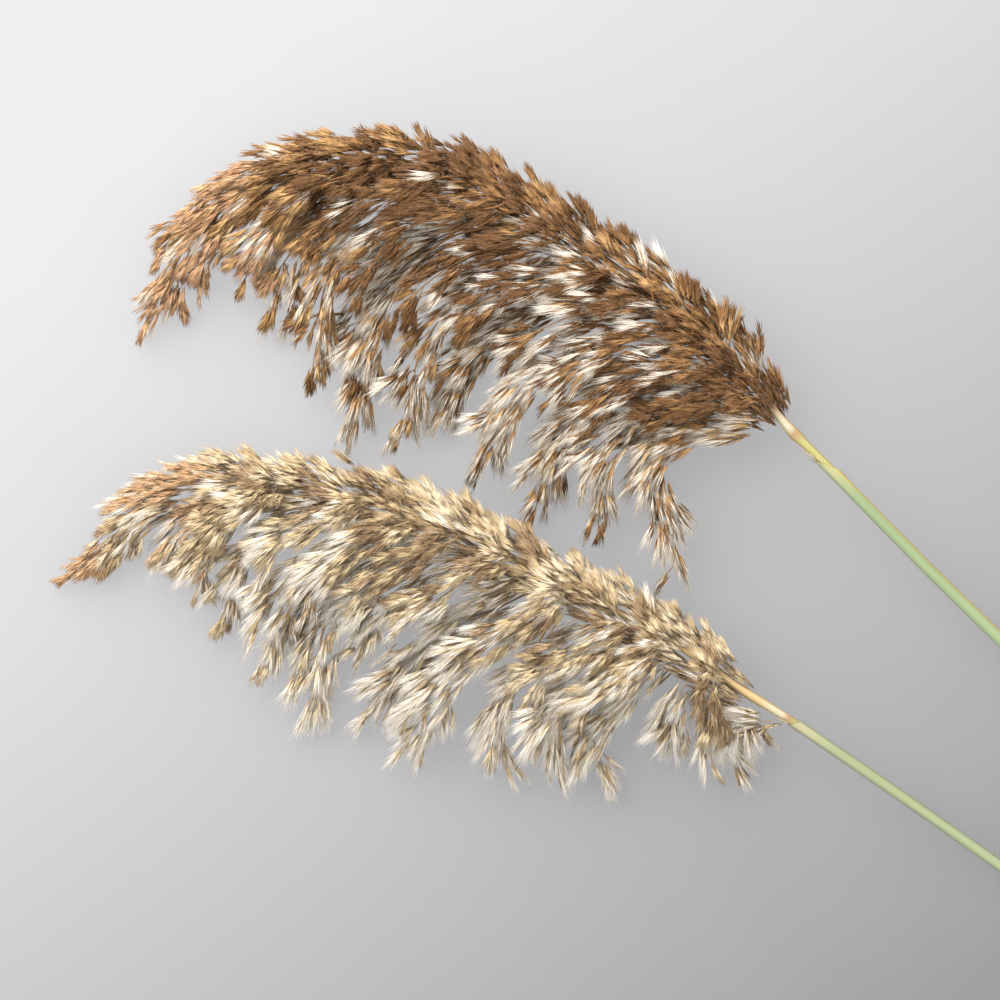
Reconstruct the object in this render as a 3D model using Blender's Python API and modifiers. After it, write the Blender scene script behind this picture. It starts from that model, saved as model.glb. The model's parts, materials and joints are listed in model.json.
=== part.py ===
"""A bunch of two cut common reeds that lie on a surface.

Each reed is a culm that runs on as the axis of its plume, the leaf sheath round the culm's
lower part, and the plume's branches. A branch is a few pointed locks fused where they fork.
The tables are in millimetres, X and Y as seen from above and Z up from the surface.
"""

import math
from dataclasses import dataclass

import bmesh
import bpy
import numpy as np
from mathutils import Vector

MM = 0.001
# the least room between two locks that touch, and between a branch's root and the axis
CLEARANCE = 0.55
ROOT_GAP = 0.4

# how finely a lock's line is worked out, and how far apart its rings are
LINE_POINTS = 19
AXIS_POINTS = 61
# steps of a curve between two given points, and which points others are drawn through
CURVE_STEPS = 10
AXIS_STEP = 6
GUIDE_START = 3
GUIDE_STEP = 3
FEWEST_KEPT = 4
STEM_RINGS = 5
# below 1: an arch is highest before its middle, and an edge lock spreads early
ARCH_LEAN = 0.8
EDGE_SPREADING = 0.6
CULM_POINTS = 400
RING_SPACING = 38.0
HOOKED_SPACING = 20.0
FEWEST_RINGS = 4
MAIN_SIDES = 5
FORK_SIDES = 4
CULM_SIDES = 8

# a lock's radius at its ends, and the share of its full radius that it has on its way
ROOT_RADIUS = 0.8
TIP_RADIUS = 0.35
LOCK_SWELL = ((0.0, 0.10, 0.38, 0.72, 1.0), (0.15, 0.50, 1.0, 0.80, 0.07))
TIP_SWELL = ((0.0, 0.06, 0.30, 0.72, 1.0), (0.15, 0.80, 1.0, 0.80, 0.07))
# a lock is this many times wider than high, and lies this share of its radius above the surface
FLATTENED = 1.35
PRESSED = 0.66

# a branch's line leaves the axis along it and away from it before it bends over, and can't
# be moved up to a share of its length, from where it loosens over a further share
ROOT_RUN = 9.0
ROOT_RISE = 4.0
HELD_ROOT = (0.02, 0.10)
# a fork has spread fully after this share of its run, and starts thinner than its main lock
SPREAD_BY = 0.75
FORK_START = 0.85

# forks: where they leave and stop as shares of the main lock, how far they spread to the
# outer side and rise, and their share of the main lock's radius
SIDE_FORKS = ((0.30, 0.86, 7.0, 5.0, 0.80), (0.42, 0.95, -7.0, -3.0, 0.76))
HOOKED_FORKS = ((0.30, 0.86, 6.0, 5.0, 0.80), (0.42, 0.75, -6.0, -3.0, 0.76))
# branches of one kind: the height of their tips, how far they arch over the straight way
# there, and for side branches how far every other one is lower or higher
SIDE_BRANCH = {"arch": (2.0, 9.0), "tip_height": (10.2, 14.4)}
# the same for the other two kinds, with the side of the axis that they leave from (0 up, 2
# under), how far they reach along the side branches beside them, their radius and forks
TOP_BRANCH = {"lean": 0.0, "arch": 13.0, "tip_height": 33.0, "reach": 0.66, "radius": 7.8,
              "forks": ((0.30, 0.90, 8.0, 1.0, 0.82),)}
UNDER_BRANCH = {"lean": 2.0, "arch": -12.0, "tip_height": 6.0, "reach": 0.90, "radius": 8.4,
                "forks": ((0.28, 0.90, 9.0, -1.0, 0.90),)}
# the lock of a top branch that lies along the plume's outer edge: where it forks off, how far
# it goes, its distance from the axis at the plume's base and tip, its rise and its radius
EDGE_LOCK = {"fork": 0.10, "reach": 46.0, "spread": (8.0, 14.0), "rise": 2.0, "radius": 8.4,
             "steps": (0.4, 0.7, 1.0)}

# how locks are eased apart: the rounds, how often neighbours are found anew and how far off,
# how much of a push counts along X, Y and Z, its strength, and how it evens out along a lock
EASING_ROUNDS = 220
NEW_NEIGHBOURS = 10
NEIGHBOUR_REACH = 24.0
EASING_WEIGHTS = (0.55, 0.55, 1.0)
EASING_STRENGTH = 1.6
EVENED = (0.25, 0.5, 0.25)
THINNING_ROUNDS = 4
THINNEST = 0.1

# the culm thickens this far past the sheath's mouth, and over this far on each side of its knot
BARE_START = 1.0
SHOULDER = 3.0
KNOT_RISE = 2.4
INSIDE_MOUTH = 5.0
HOLLOW_DEPTH = 12.0
HOLLOW_RADIUS = 1.1
# the sheath is set back from the culm's cut end, and widens this far before its mouth
SHEATH_WALL = 0.35
SHEATH_START = 0.4
MOUTH_RUN = 6.0

STRAW = (0.66, 0.58, 0.28)
GREEN = (0.42, 0.50, 0.28)

UPPER = {
    "name": "upper",
    "axis": [(52, 78), (35, 99), (13, 122), (-14, 140), (-40, 158), (-67, 176), (-96, 189),
             (-128, 194), (-150, 193), (-168, 190)],
    "axis_heights": (25, 29, 30, 30, 28, 24),
    "axis_radii": (1.9, 0.6),
    "culm": [(258, -124), (205, -73), (151, -20), (106, 23), (70, 60), (57, 72)],
    "culm_heights": (2.8, 24.4),
    "culm_radius": 2.05,
    "peduncle_radius": 2.2,
    "knot_radius": 2.6,
    "sheath_radii": (3.05, 2.75, 2.75),
    "mouth_slant": 8.0,
    "plume_colour": (0.30, 0.19, 0.10),
    # where it leaves the axis, as a share of the axis, the plan of its line, and its radius
    "branches": [
        (0.004, [(26, 81), (4, 73), (-7, 59), (-8, 46), (0, 35), (6, 24), (10, 13), (3, 5),
                 (-6, 2)], 5.6),
        (0.022, [(16, 83), (-7, 70), (-19, 49)], 7.5),
        (0.062, [(7, 90), (-23, 73), (-32, 46), (-30, 21)], 8.0),
        (0.130, [(-6, 104), (-38, 81), (-55, 55), (-61, 28)], 8.2),
        (0.215, [(-24, 119), (-56, 101), (-77, 75), (-87, 49)], 8.2),
        (0.320, [(-47, 136), (-78, 116), (-98, 90), (-105, 68)], 8.0),
        (0.406, [(-65, 149), (-97, 128), (-115, 95), (-121, 63)], 8.2),
        (0.510, [(-94, 164), (-121, 138), (-136, 100), (-144, 63)], 8.2),
        (0.630, [(-121, 176), (-147, 150), (-158, 118), (-160, 86)], 8.0),
        (0.760, [(-150, 178), (-167, 158), (-171, 136), (-182, 116)], 7.0),
        (0.880, [(-169, 171), (-183, 154), (-193, 132)], 6.5),
    ],
    # the other branches' places in the row of side branches, which counts from 0
    "top_places": (1.3, 2.6, 3.5, 4.4, 5.4, 6.4, 7.4, 8.4, 9.4),
    "under_places": (0.5, 2.7, 4.9, 7.2, 9.4),
    "tip_branch": [(-190, 179), (-212, 160), (-227, 136), (-237, 112)],
    "tip_height": 9,
    "tip_radius": 8.8,
    "tip_forks": ((0.06, 0.56, 9, 2, 0.8), (0.06, 0.56, -13, 1, 0.85), (0.22, 0.70, -15, 3, 0.85),
                  (0.36, 0.86, -11, -2, 0.8), (0.08, 0.66, 2, 9, 0.85), (0.16, 0.70, -2, -8, 0.8)),
}

LOWER = {
    "name": "lower",
    "axis": [(36, -45), (12, -27), (-9, -15), (-29, -4), (-51, 7), (-74, 19), (-96, 30),
             (-119, 38), (-141, 44), (-164, 47), (-186, 49), (-209, 48)],
    "axis_heights": (24, 27, 27, 26, 23, 19),
    "axis_radii": (1.8, 0.6),
    "culm": [(274, -209), (212, -166), (151, -123), (100, -87), (56, -57), (41, -48)],
    "culm_heights": (2.3, 23.6),
    "culm_radius": 1.8,
    "peduncle_radius": 2.1,
    "knot_radius": 2.2,
    "sheath_radii": (2.5, 2.45, 2.8),
    "mouth_slant": 2.0,
    "plume_colour": (0.55, 0.42, 0.24),
    "branches": [
        (0.013, [(32, -50), (40, -59), (51, -69)], 5.2),
        (0.043, [(23, -44), (19, -56), (29, -76), (39, -87)], 5.2),
        (0.086, [(12, -40), (2, -54), (6, -73)], 7.0),
        (0.124, [(-3, -34), (-26, -54), (-34, -72), (-25, -94)], 7.0),
        (0.178, [(-15, -26), (-46, -44), (-55, -67), (-45, -91)], 7.0),
        (0.243, [(-30, -20), (-64, -34), (-75, -54), (-72, -78), (-57, -87)], 7.0),
        (0.324, [(-52, -8), (-84, -26), (-106, -54), (-123, -80)], 7.8),
        (0.400, [(-72, 4), (-102, -16), (-124, -44), (-139, -62)], 7.8),
        (0.486, [(-96, 16), (-120, 0), (-138, -20), (-146, -34)], 7.2),
        (0.562, [(-115, 25), (-140, 7), (-156, -24), (-162, -67)], 7.8),
        (0.650, [(-139, 32), (-161, 14), (-175, -12), (-182, -40)], 7.5),
        (0.745, [(-163, 38), (-184, 23), (-197, 2), (-203, -20)], 7.2),
        (0.840, [(-187, 41), (-203, 24), (-212, -8)], 6.5),
        (0.935, [(-212, 40), (-221, 24), (-220, 3)], 6.0),
    ],
    "top_places": (0.8, 3.4, 4.6, 6.0, 7.5, 8.5, 9.5, 10.5, 12.0),
    "under_places": (0.5, 3.5, 6.5, 9.4, 12.4),
    "tip_branch": [(-227, 44), (-240, 32), (-251, 18), (-262, 9), (-274, 3)],
    "tip_height": 8,
    "tip_radius": 6.8,
    "tip_forks": ((0.06, 0.62, 8, 1, 0.9), (0.06, 0.50, -6, 0, 0.9), (0.34, 0.82, -6, 1, 0.8),
                  (0.10, 0.60, 1, 7, 0.9)),
}


@dataclass
class Lock:
    """One pointed lock: its middle line, its radius and freedom to move along that, and its fork."""
    node: str
    line: np.ndarray
    radius: np.ndarray
    freedom: np.ndarray
    main: object = None
    fork: float = 0.0
    spacing: float = RING_SPACING


def smooth_line(points, count):
    """Evenly spaced points on a smooth curve through the given ones."""
    points = np.array(points, float)
    padded = np.vstack([2 * points[0] - points[1], points, 2 * points[-1] - points[-2]])
    curve = []
    for a, b, c, d in zip(padded, padded[1:], padded[2:], padded[3:]):
        for t in np.linspace(0, 1, CURVE_STEPS, endpoint=False):
            pull = (2 * a - 5 * b + 4 * c - d) * t + (3 * b - a - 3 * c + d) * t * t
            curve.append(b + 0.5 * t * (c - a + pull))
    curve.append(points[-1])
    curve = np.array(curve)
    run = np.concatenate([[0], np.cumsum(np.linalg.norm(np.diff(curve, axis=0), axis=1))])
    at = np.linspace(0, run[-1], count)
    return np.column_stack([np.interp(at, run, column) for column in curve.T])


def at_share(line, share):
    """The point at a share of the line's points, and the line's direction there."""
    place = np.arange(len(line)) / (len(line) - 1)
    point = np.array([np.interp(share, place, column) for column in line.T])
    slope = np.gradient(line, axis=0)
    heading = np.array([np.interp(share, place, column) for column in slope.T])
    return point, heading / np.linalg.norm(heading)


def outward(heading):
    """The level direction to the right of a heading, which is the plume's outer side."""
    side = np.array([heading[1], -heading[0], 0.0])
    return side / np.linalg.norm(side)


def length_of(line):
    return float(np.linalg.norm(np.diff(line, axis=0), axis=1).sum())


def ease(values):
    """A gentle run from 0 to 1, held outside that range."""
    held = np.clip(values, 0, 1)
    return held * held * (3 - 2 * held)


def make_lock(node, line, full_radius, swell=LOCK_SWELL):
    share = np.linspace(0, 1, len(line))
    radius = np.maximum(full_radius * np.interp(share, *swell), TIP_RADIUS)
    radius[0] = min(ROOT_RADIUS, radius[0])
    held, loosened = HELD_ROOT
    return Lock(node, line, radius, ease((share - held) / loosened))


def forked(lock, main, fork):
    """The lock, tied to the main lock that it grows from at a share of its length."""
    lock.main, lock.fork = main, fork
    share = np.linspace(0, 1, len(main.line))
    widest = FORK_START * np.interp(fork, share, main.radius)
    lock.radius[:2] = np.minimum(lock.radius[:2], widest)
    lock.freedom = np.maximum(lock.freedom, np.interp(fork, share, main.freedom))
    return lock


def side_lock(main, leaves, stops, spread, rise, share_of_radius):
    """A lock that forks off a main lock, runs beside it and stops before its tip."""
    share = np.linspace(leaves, stops, LINE_POINTS)
    line = np.array([at_share(main.line, s)[0] for s in share])
    beside = np.array([outward(at_share(main.line, s)[1]) for s in share])
    away = ease((share - leaves) / (SPREAD_BY * (stops - leaves)))
    line = line + spread * away[:, None] * beside
    line[:, 2] += rise * away
    full_radius = main.radius.max() * share_of_radius
    return forked(make_lock(main.node, line, full_radius), main, leaves)


def axis_of(reed):
    """The plume's axis in space."""
    plan = np.array(reed["axis"], float)
    steps = np.linalg.norm(np.diff(plan, axis=0), axis=1)
    share = np.concatenate([[0], np.cumsum(steps)]) / steps.sum()
    heights = np.interp(share, np.linspace(0, 1, len(reed["axis_heights"])), reed["axis_heights"])
    return smooth_line(np.column_stack([plan, heights]), AXIS_POINTS)


def root_on(reed, axis, share, lean):
    """A branch's first two points, beside the axis on the side given by lean: -1 in, 0 up, 2 under."""
    point, heading = at_share(axis, share)
    angle = math.radians(90 * lean)
    away = math.sin(angle) * outward(heading) + math.cos(angle) * np.array([0, 0, 1.0])
    base, end = reed["axis_radii"]
    clear = base + (end - base) * share + ROOT_GAP + ROOT_RADIUS
    return point + clear * away, point + ROOT_RUN * heading + (clear + ROOT_RISE) * away


def hanging_line(reed, axis, share, plan, higher):
    """The line of a branch that hangs to the inner side, through its plan's points."""
    arch, tip_height = SIDE_BRANCH["arch"][higher], SIDE_BRANCH["tip_height"][higher]
    first, second = root_on(reed, axis, share, -1)
    plan = np.array(plan, float)
    steps = np.linalg.norm(np.diff(np.vstack([second[:2], plan]), axis=0), axis=1)
    run = np.cumsum(steps) / steps.sum()
    heights = second[2] + (tip_height - second[2]) * run + arch * np.sin(math.pi * run)
    points = np.vstack([first, second, np.column_stack([plan, heights])])
    return smooth_line(points, LINE_POINTS)


def line_between(first, second, share, reach):
    """A line that runs between two others for part of their length."""
    middle = (1 - share) * first + share * second
    kept = max(FEWEST_KEPT, round(reach * len(middle)))
    return smooth_line(middle[:kept], LINE_POINTS)


def layered_line(reed, axis, share, kind, guide):
    """The guide's plan, started over or under the axis and lifted or lowered on its way."""
    first, second = root_on(reed, axis, share, kind["lean"])
    run = np.linspace(0, 1, len(guide))
    bend = kind["arch"] * np.sin(math.pi * run ** ARCH_LEAN)
    heights = second[2] + (kind["tip_height"] - second[2]) * run + bend
    rest = np.column_stack([guide[:, :2], heights])[GUIDE_START:]
    return smooth_line(np.vstack([first, second, rest[::GUIDE_STEP], rest[-1:]]), LINE_POINTS)


def crest_of(reed, axis):
    """The axis and on to the plume's end."""
    plan = np.array(reed["tip_branch"], float)
    heights = np.linspace(axis[-1, 2], reed["tip_height"], len(plan) + 1)[1:]
    return smooth_line(np.vstack([axis[::AXIS_STEP], np.column_stack([plan, heights])]), AXIS_POINTS)


def edge_lock(crest, main, share):
    """A lock that forks off a top branch near its root and lies along the plume's outer edge."""
    near, far = EDGE_LOCK["spread"]
    fork = at_share(main.line, EDGE_LOCK["fork"])[0]
    heading = at_share(crest, share)[1]
    points = [fork, fork + ROOT_RUN * heading + ROOT_RISE * outward(heading)]
    for step in EDGE_LOCK["steps"]:
        point, heading = at_share(crest, share + step * EDGE_LOCK["reach"] / length_of(crest))
        spread = (near + (far - near) * share) * step ** EDGE_SPREADING
        height = np.array([0, 0, EDGE_LOCK["rise"] * step])
        points.append(point + spread * outward(heading) + height)
    lock = make_lock(main.node, smooth_line(points, LINE_POINTS), EDGE_LOCK["radius"])
    return forked(lock, main, EDGE_LOCK["fork"])


def guide_at(lines, place, reach):
    """The line that runs between two side branches, place counting them from 0."""
    before = min(int(place), len(lines) - 2)
    return line_between(lines[before], lines[before + 1], place - before, reach)


def side_locks(reed, axis):
    """The locks of the side branches, and their main lines."""
    locks, lines = [], []
    for number, (share, plan, radius) in enumerate(reed["branches"], 1):
        line = hanging_line(reed, axis, share, plan, number % 2)
        main = make_lock(f"{reed['name']}_side_branch_{number:02d}", line, radius)
        forks = SIDE_FORKS
        if len(plan) > 4:
            main.spacing, forks = HOOKED_SPACING, HOOKED_FORKS
        locks += [main] + [side_lock(main, *fork) for fork in forks]
        lines.append(line)
    return locks, lines


def layer_locks(reed, axis, label, kind, shares, guides):
    """The locks of the branches on one face of the plume."""
    crest = crest_of(reed, axis)
    locks = []
    for number, (share, guide) in enumerate(zip(shares, guides), 1):
        line = layered_line(reed, axis, share, kind, guide)
        main = make_lock(f"{reed['name']}_{label}_branch_{number:02d}", line, kind["radius"])
        locks += [main] + [side_lock(main, *fork) for fork in kind["forks"]]
        if kind is TOP_BRANCH:
            locks.append(edge_lock(crest, main, share * length_of(axis) / length_of(crest)))
    return locks


def tip_locks(reed, axis):
    """The locks of the last tuft, whose line goes on from the axis's end."""
    last, heading = at_share(axis, 1.0)
    start = last + ROOT_GAP * heading
    plan = np.array(reed["tip_branch"], float)
    heights = np.linspace(last[2], reed["tip_height"], len(plan) + 1)[1:]
    line = smooth_line(np.vstack([start, np.column_stack([plan, heights])]), LINE_POINTS)
    main = make_lock(f"{reed['name']}_tip_branch", line, reed["tip_radius"], TIP_SWELL)
    return [main] + [side_lock(main, *fork) for fork in reed["tip_forks"]]


def plume_locks(reed, axis):
    """All locks of one plume."""
    locks, lines = side_locks(reed, axis)
    side_shares = [row[0] for row in reed["branches"]]
    places = np.arange(len(lines))
    for label, kind in (("top", TOP_BRANCH), ("under", UNDER_BRANCH)):
        gaps = reed[label + "_places"]
        guides = [guide_at(lines, place, kind["reach"]) for place in gaps]
        shares = np.interp(gaps, places, side_shares)
        locks += layer_locks(reed, axis, label, kind, shares, guides)
    return locks + tip_locks(reed, axis)


def thinned(lock, radius, share):
    """The radii made thinner by a share at each point, and straight from ring to ring."""
    shares, _, _ = rings_of(lock)
    place = np.linspace(0, 1, len(lock.line))
    at_rings = np.interp(shares, place, radius)
    for k in range(len(shares)):
        before, after = shares[max(k - 1, 0)], shares[min(k + 1, len(shares) - 1)]
        at_rings[k] *= share[(place >= before) & (place <= after)].min()
    return np.interp(place, shares, at_rings)


def neighbours(points, nodes):
    """Index pairs of points of unlike nodes that are within reach of each other."""
    first, second = [], []
    for i in range(len(points) - 1):
        near = np.abs(points[i + 1:] - points[i]).max(axis=1) < NEIGHBOUR_REACH
        found = np.flatnonzero(near & (nodes[i + 1:] != nodes[i])) + i + 1
        first.append(np.full(len(found), i))
        second.append(found)
    return np.concatenate(first), np.concatenate(second)


def rings_of(lock):
    """The shares of a lock's line that get a ring, and the rings' middles and radii."""
    count = max(FEWEST_RINGS, round(length_of(lock.line) / lock.spacing) + 2)
    even = np.linspace(0, 1, count)
    shares = 0.75 * even + 0.25 * even ** 2
    place = np.linspace(0, 1, len(lock.line))
    centres = np.column_stack([np.interp(shares, place, column) for column in lock.line.T])
    return shares, centres, np.interp(shares, place, lock.radius)


def straight_between_rings(lock):
    """The lock's line as its tube has it, straight from ring to ring."""
    shares, centres, _ = rings_of(lock)
    place = np.linspace(0, 1, len(lock.line))
    return np.column_stack([np.interp(place, shares, column) for column in centres.T])


def tie_forks(points, ties):
    """Brings the start of each forked lock back onto its main lock, the rest following it less and less."""
    for lock, main, place in ties:
        before = min(int(place), main.stop - main.start - 2)
        share = place - before
        at = points[main.start + before] * (1 - share) + points[main.start + before + 1] * share
        fade = np.linspace(1, 0, lock.stop - lock.start)[:, None] ** 2
        points[lock] += fade * (at - points[lock.start])


def part_locks(locks, reeds):
    """Moves locks of unlike branches apart until they clear each other, the axes and the surface.

    It works in heights stretched by FLATTENED, where locks are round, and leaves them so.
    """
    stretch = (1, 1, FLATTENED)
    fixed = []
    for reed, axis in reeds:
        radius = np.interp(np.linspace(0, 1, len(axis)), (0, 1), reed["axis_radii"])
        fixed.append((axis * stretch, radius * FLATTENED))
    for lock in locks:
        lock.line = lock.line * stretch
    names = sorted({lock.node for lock in locks})
    starts = np.cumsum([0] + [len(lock.line) for lock in locks])
    spans = [slice(a, b) for a, b in zip(starts, starts[1:])]
    of_lock = {id(lock): span for lock, span in zip(locks, spans)}
    ties = [(of_lock[id(lock)], of_lock[id(lock.main)], lock.fork * (len(lock.main.line) - 1))
            for lock in locks if lock.main]
    points = np.vstack([lock.line for lock in locks] + [line for line, _ in fixed])
    radius = np.concatenate([lock.radius for lock in locks] + [r for _, r in fixed])
    freedom = np.concatenate([lock.freedom for lock in locks] + [0 * r for _, r in fixed])
    nodes = np.concatenate(
        [np.full(len(lock.line), names.index(lock.node)) for lock in locks]
        + [np.full(len(line), -1 - k) for k, (line, _) in enumerate(fixed)]
    )
    for turn in range(EASING_ROUNDS):
        if turn % NEW_NEIGHBOURS == 0:
            first, second = neighbours(points, nodes)
        apart = points[first] - points[second]
        distance = np.linalg.norm(apart, axis=1) + 1e-6
        short = radius[first] + radius[second] + CLEARANCE - distance
        tight = short > 0
        one, other = first[tight], second[tight]
        push = apart[tight] * EASING_WEIGHTS * (0.5 * short / distance)[tight, None]
        move = np.zeros_like(points)
        np.add.at(move, one, push)
        np.add.at(move, other, -push)
        count = 1 + np.bincount(np.concatenate([one, other]), minlength=len(points))
        move *= (EASING_STRENGTH * freedom / np.sqrt(count))[:, None]
        for span in spans:
            part = move[span]
            before, here, after = EVENED
            part[1:-1] = before * part[:-2] + here * part[1:-1] + after * part[2:]
        points += move * freedom[:, None]
        tie_forks(points, ties)
        points[:, 2] = np.maximum(points[:, 2], PRESSED * radius)
    for lock, span in zip(locks, spans):
        lock.line = points[span]
        points[span] = straight_between_rings(lock)
    first, second = neighbours(points, nodes)
    distance = np.linalg.norm(points[first] - points[second], axis=1)
    for _ in range(THINNING_ROUNDS):
        fit = (distance - CLEARANCE) / (radius[first] + radius[second])
        fit = np.clip(fit, THINNEST, 1)
        share = np.ones(len(points))
        np.minimum.at(share, first, fit)
        np.minimum.at(share, second, fit)
        share[starts[-1]:] = 1
        for lock, span in zip(locks, spans):
            radius[span] = thinned(lock, radius[span], share[span])
    for lock, span in zip(locks, spans):
        lock.line, lock.radius = points[span], radius[span]


def material(name, colour, roughness):
    made = bpy.data.materials.new(name)
    made.use_nodes = True
    shader = made.node_tree.nodes["Principled BSDF"]
    shader.inputs["Base Color"].default_value = (*colour, 1)
    shader.inputs["Roughness"].default_value = roughness
    shader.inputs["Metallic"].default_value = 0.0
    made.diffuse_color = (*colour, 1)
    return made


def section(sides):
    """A round cross-section of radius 1 for tubes, as a hidden guide."""
    curve = bpy.data.curves.new(f"section_{sides}", "CURVE")
    spline = curve.splines.new("POLY")
    spline.points.add(sides - 1)
    for k, point in enumerate(spline.points):
        angle = 2 * math.pi * (k + 0.5) / sides - math.pi / 2
        point.co = (math.cos(angle), math.sin(angle), 0, 1)
    spline.use_cyclic_u = True
    guide = bpy.data.objects.new(curve.name, curve)
    guide.hide_render = True
    guide.display_type = "WIRE"
    bpy.data.collections["Cutters"].objects.link(guide)
    return guide


def tube(name, line, radius, profile, capped=True):
    """A mesh object: the profile swept along the line, in millimetres, at the radius given there."""
    curve = bpy.data.curves.new(name, "CURVE")
    curve.dimensions = "3D"
    curve.twist_mode = "Z_UP"
    curve.bevel_mode = "OBJECT"
    curve.bevel_object = profile
    curve.use_fill_caps = capped
    spline = curve.splines.new("POLY")
    spline.points.add(len(line) - 1)
    for point, place, size in zip(spline.points, line, radius):
        point.co = (*(MM * place), 1)
        point.radius = MM * size
    swept = bpy.data.objects.new(name, curve)
    bpy.context.scene.collection.objects.link(swept)
    graph = bpy.context.evaluated_depsgraph_get()
    mesh = bpy.data.meshes.new_from_object(swept.evaluated_get(graph))
    bpy.data.objects.remove(swept)
    bpy.data.curves.remove(curve)
    shape = bmesh.new()
    shape.from_mesh(mesh)
    bmesh.ops.remove_doubles(shape, verts=shape.verts, dist=0.00001)
    bmesh.ops.recalc_face_normals(shape, faces=shape.faces)
    shape.to_mesh(mesh)
    shape.free()
    mesh.name = name
    return bpy.data.objects.new(name, mesh)


def apply_boolean(target, other, operation):
    """Joins or cuts the target with the other object, which is then removed."""
    bpy.context.scene.collection.objects.link(other)
    modifier = target.modifiers.new(operation, "BOOLEAN")
    modifier.operation = operation
    modifier.object = other
    modifier.solver = "EXACT"
    graph = bpy.context.evaluated_depsgraph_get()
    mesh = bpy.data.meshes.new_from_object(target.evaluated_get(graph))
    target.modifiers.clear()
    target.data = mesh
    bpy.data.objects.remove(other)


def lock_mesh(lock, profile):
    """The lock's tube. One that forks off another starts on that one's middle line."""
    _, centres, radius = rings_of(lock)
    if lock.main:
        shares, of_main, _ = rings_of(lock.main)
        centres[0] = [np.interp(lock.fork, shares, column) for column in of_main.T]
    return tube(lock.node, centres, radius, profile)


def branch_object(name, locks, profiles, finish, parts):
    """One branch: its locks joined where they fork, and pressed flat where it lies."""
    main, *forks = locks
    branch = lock_mesh(main, profiles["main"])
    parts.objects.link(branch)
    for lock in forks:
        apply_boolean(branch, lock_mesh(lock, profiles["fork"]), "UNION")
    for vertex in branch.data.vertices:
        vertex.co.z = max(vertex.co.z, 0.0) / FLATTENED
    finish_object(branch, name, finish)


def finish_object(obj, name, finish):
    obj.name = name
    obj.data.name = name
    obj.data.materials.clear()
    obj.data.materials.append(finish)
    obj.data.shade_smooth()
    obj.data.set_sharp_from_angle(angle=math.radians(50))


def run_along(line):
    return np.concatenate([[0], np.cumsum(np.linalg.norm(np.diff(line, axis=0), axis=1))])


def culm_line(reed, axis):
    """The culm from its cut end up to the plume: its line, and the runs of its mouth and knot."""
    plan = np.array(reed["culm"], float)
    share = run_along(plan) / run_along(plan)[-1]
    heights = np.interp(share, (0, 1), reed["culm_heights"])
    line = smooth_line(np.vstack([np.column_stack([plan, heights]), axis[:1]]), CULM_POINTS)
    run = run_along(line)
    mouth, knot = (run[np.argmin(np.linalg.norm(line[:, :2] - place, axis=1))]
                   for place in plan[-2:])
    return line, run, mouth, knot


def rings_at(line, run, places):
    return np.column_stack([np.interp(places, run, column) for column in line.T])


def stem_object(reed, axis, profile, finish, parts):
    """The culm with its hollow cut end, running on as the plume's axis."""
    line, run, mouth, knot = culm_line(reed, axis)
    bare = mouth + 0.5 * reed["mouth_slant"] + BARE_START
    inner, outer, bulge = reed["culm_radius"], reed["peduncle_radius"], reed["knot_radius"]
    start = reed["axis_radii"][0]
    changes = [mouth - INSIDE_MOUTH, bare, bare + SHOULDER, knot - KNOT_RISE, knot, knot + KNOT_RISE]
    places = np.append(np.linspace(0, changes[0], STEM_RINGS), changes[1:])
    radii = np.interp(places, changes, [inner, inner, outer, outer, bulge, start])
    along = axis[::AXIS_STEP]
    thinning = np.interp(np.linspace(0, 1, len(along)), (0, 1), reed["axis_radii"])
    stem = tube(f"{reed['name']}_stem", np.vstack([rings_at(line, run, places), along]),
                np.concatenate([radii, thinning]), profile)
    parts.objects.link(stem)
    cut, way = line[0], line[1] - line[0]
    way = way / np.linalg.norm(way)
    hollow = np.array([cut - 2 * way, cut + HOLLOW_DEPTH * way])
    apply_boolean(stem, tube("hollow", hollow, [HOLLOW_RADIUS] * 2, profile), "DIFFERENCE")
    finish_object(stem, f"{reed['name']}_stem", finish)


def sheath_object(reed, axis, profile, finish, parts):
    """The leaf sheath: an open tube round the culm, given its wall, with a slanted mouth."""
    line, run, mouth, _ = culm_line(reed, axis)
    name = f"{reed['name']}_leaf_sheath"
    at_cut, along, at_mouth = reed["sheath_radii"]
    before = mouth - MOUTH_RUN
    places = np.append(np.linspace(SHEATH_START, before - MOUTH_RUN, STEM_RINGS), [before, mouth])
    radii = np.interp(places, (0, before, mouth), (at_cut, along, at_mouth))
    sheath = tube(name, rings_at(line, run, places), radii, profile, capped=False)
    parts.objects.link(sheath)
    end = MM * rings_at(line, run, [mouth])[0]
    way = Vector(end - MM * rings_at(line, run, [before])[0]).normalized()
    beside = Vector(outward(np.array(way)))
    for vertex in sheath.data.vertices:
        offset = vertex.co - Vector(end)
        if offset.length < 1.2 * MM * at_mouth:
            lean = offset.dot(beside) / (MM * at_mouth)
            vertex.co += 0.5 * MM * reed["mouth_slant"] * lean * way
    wall = sheath.modifiers.new("wall", "SOLIDIFY")
    wall.thickness = MM * SHEATH_WALL
    wall.offset = -1
    wall.use_even_offset = True
    finish_object(sheath, name, finish)


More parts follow.
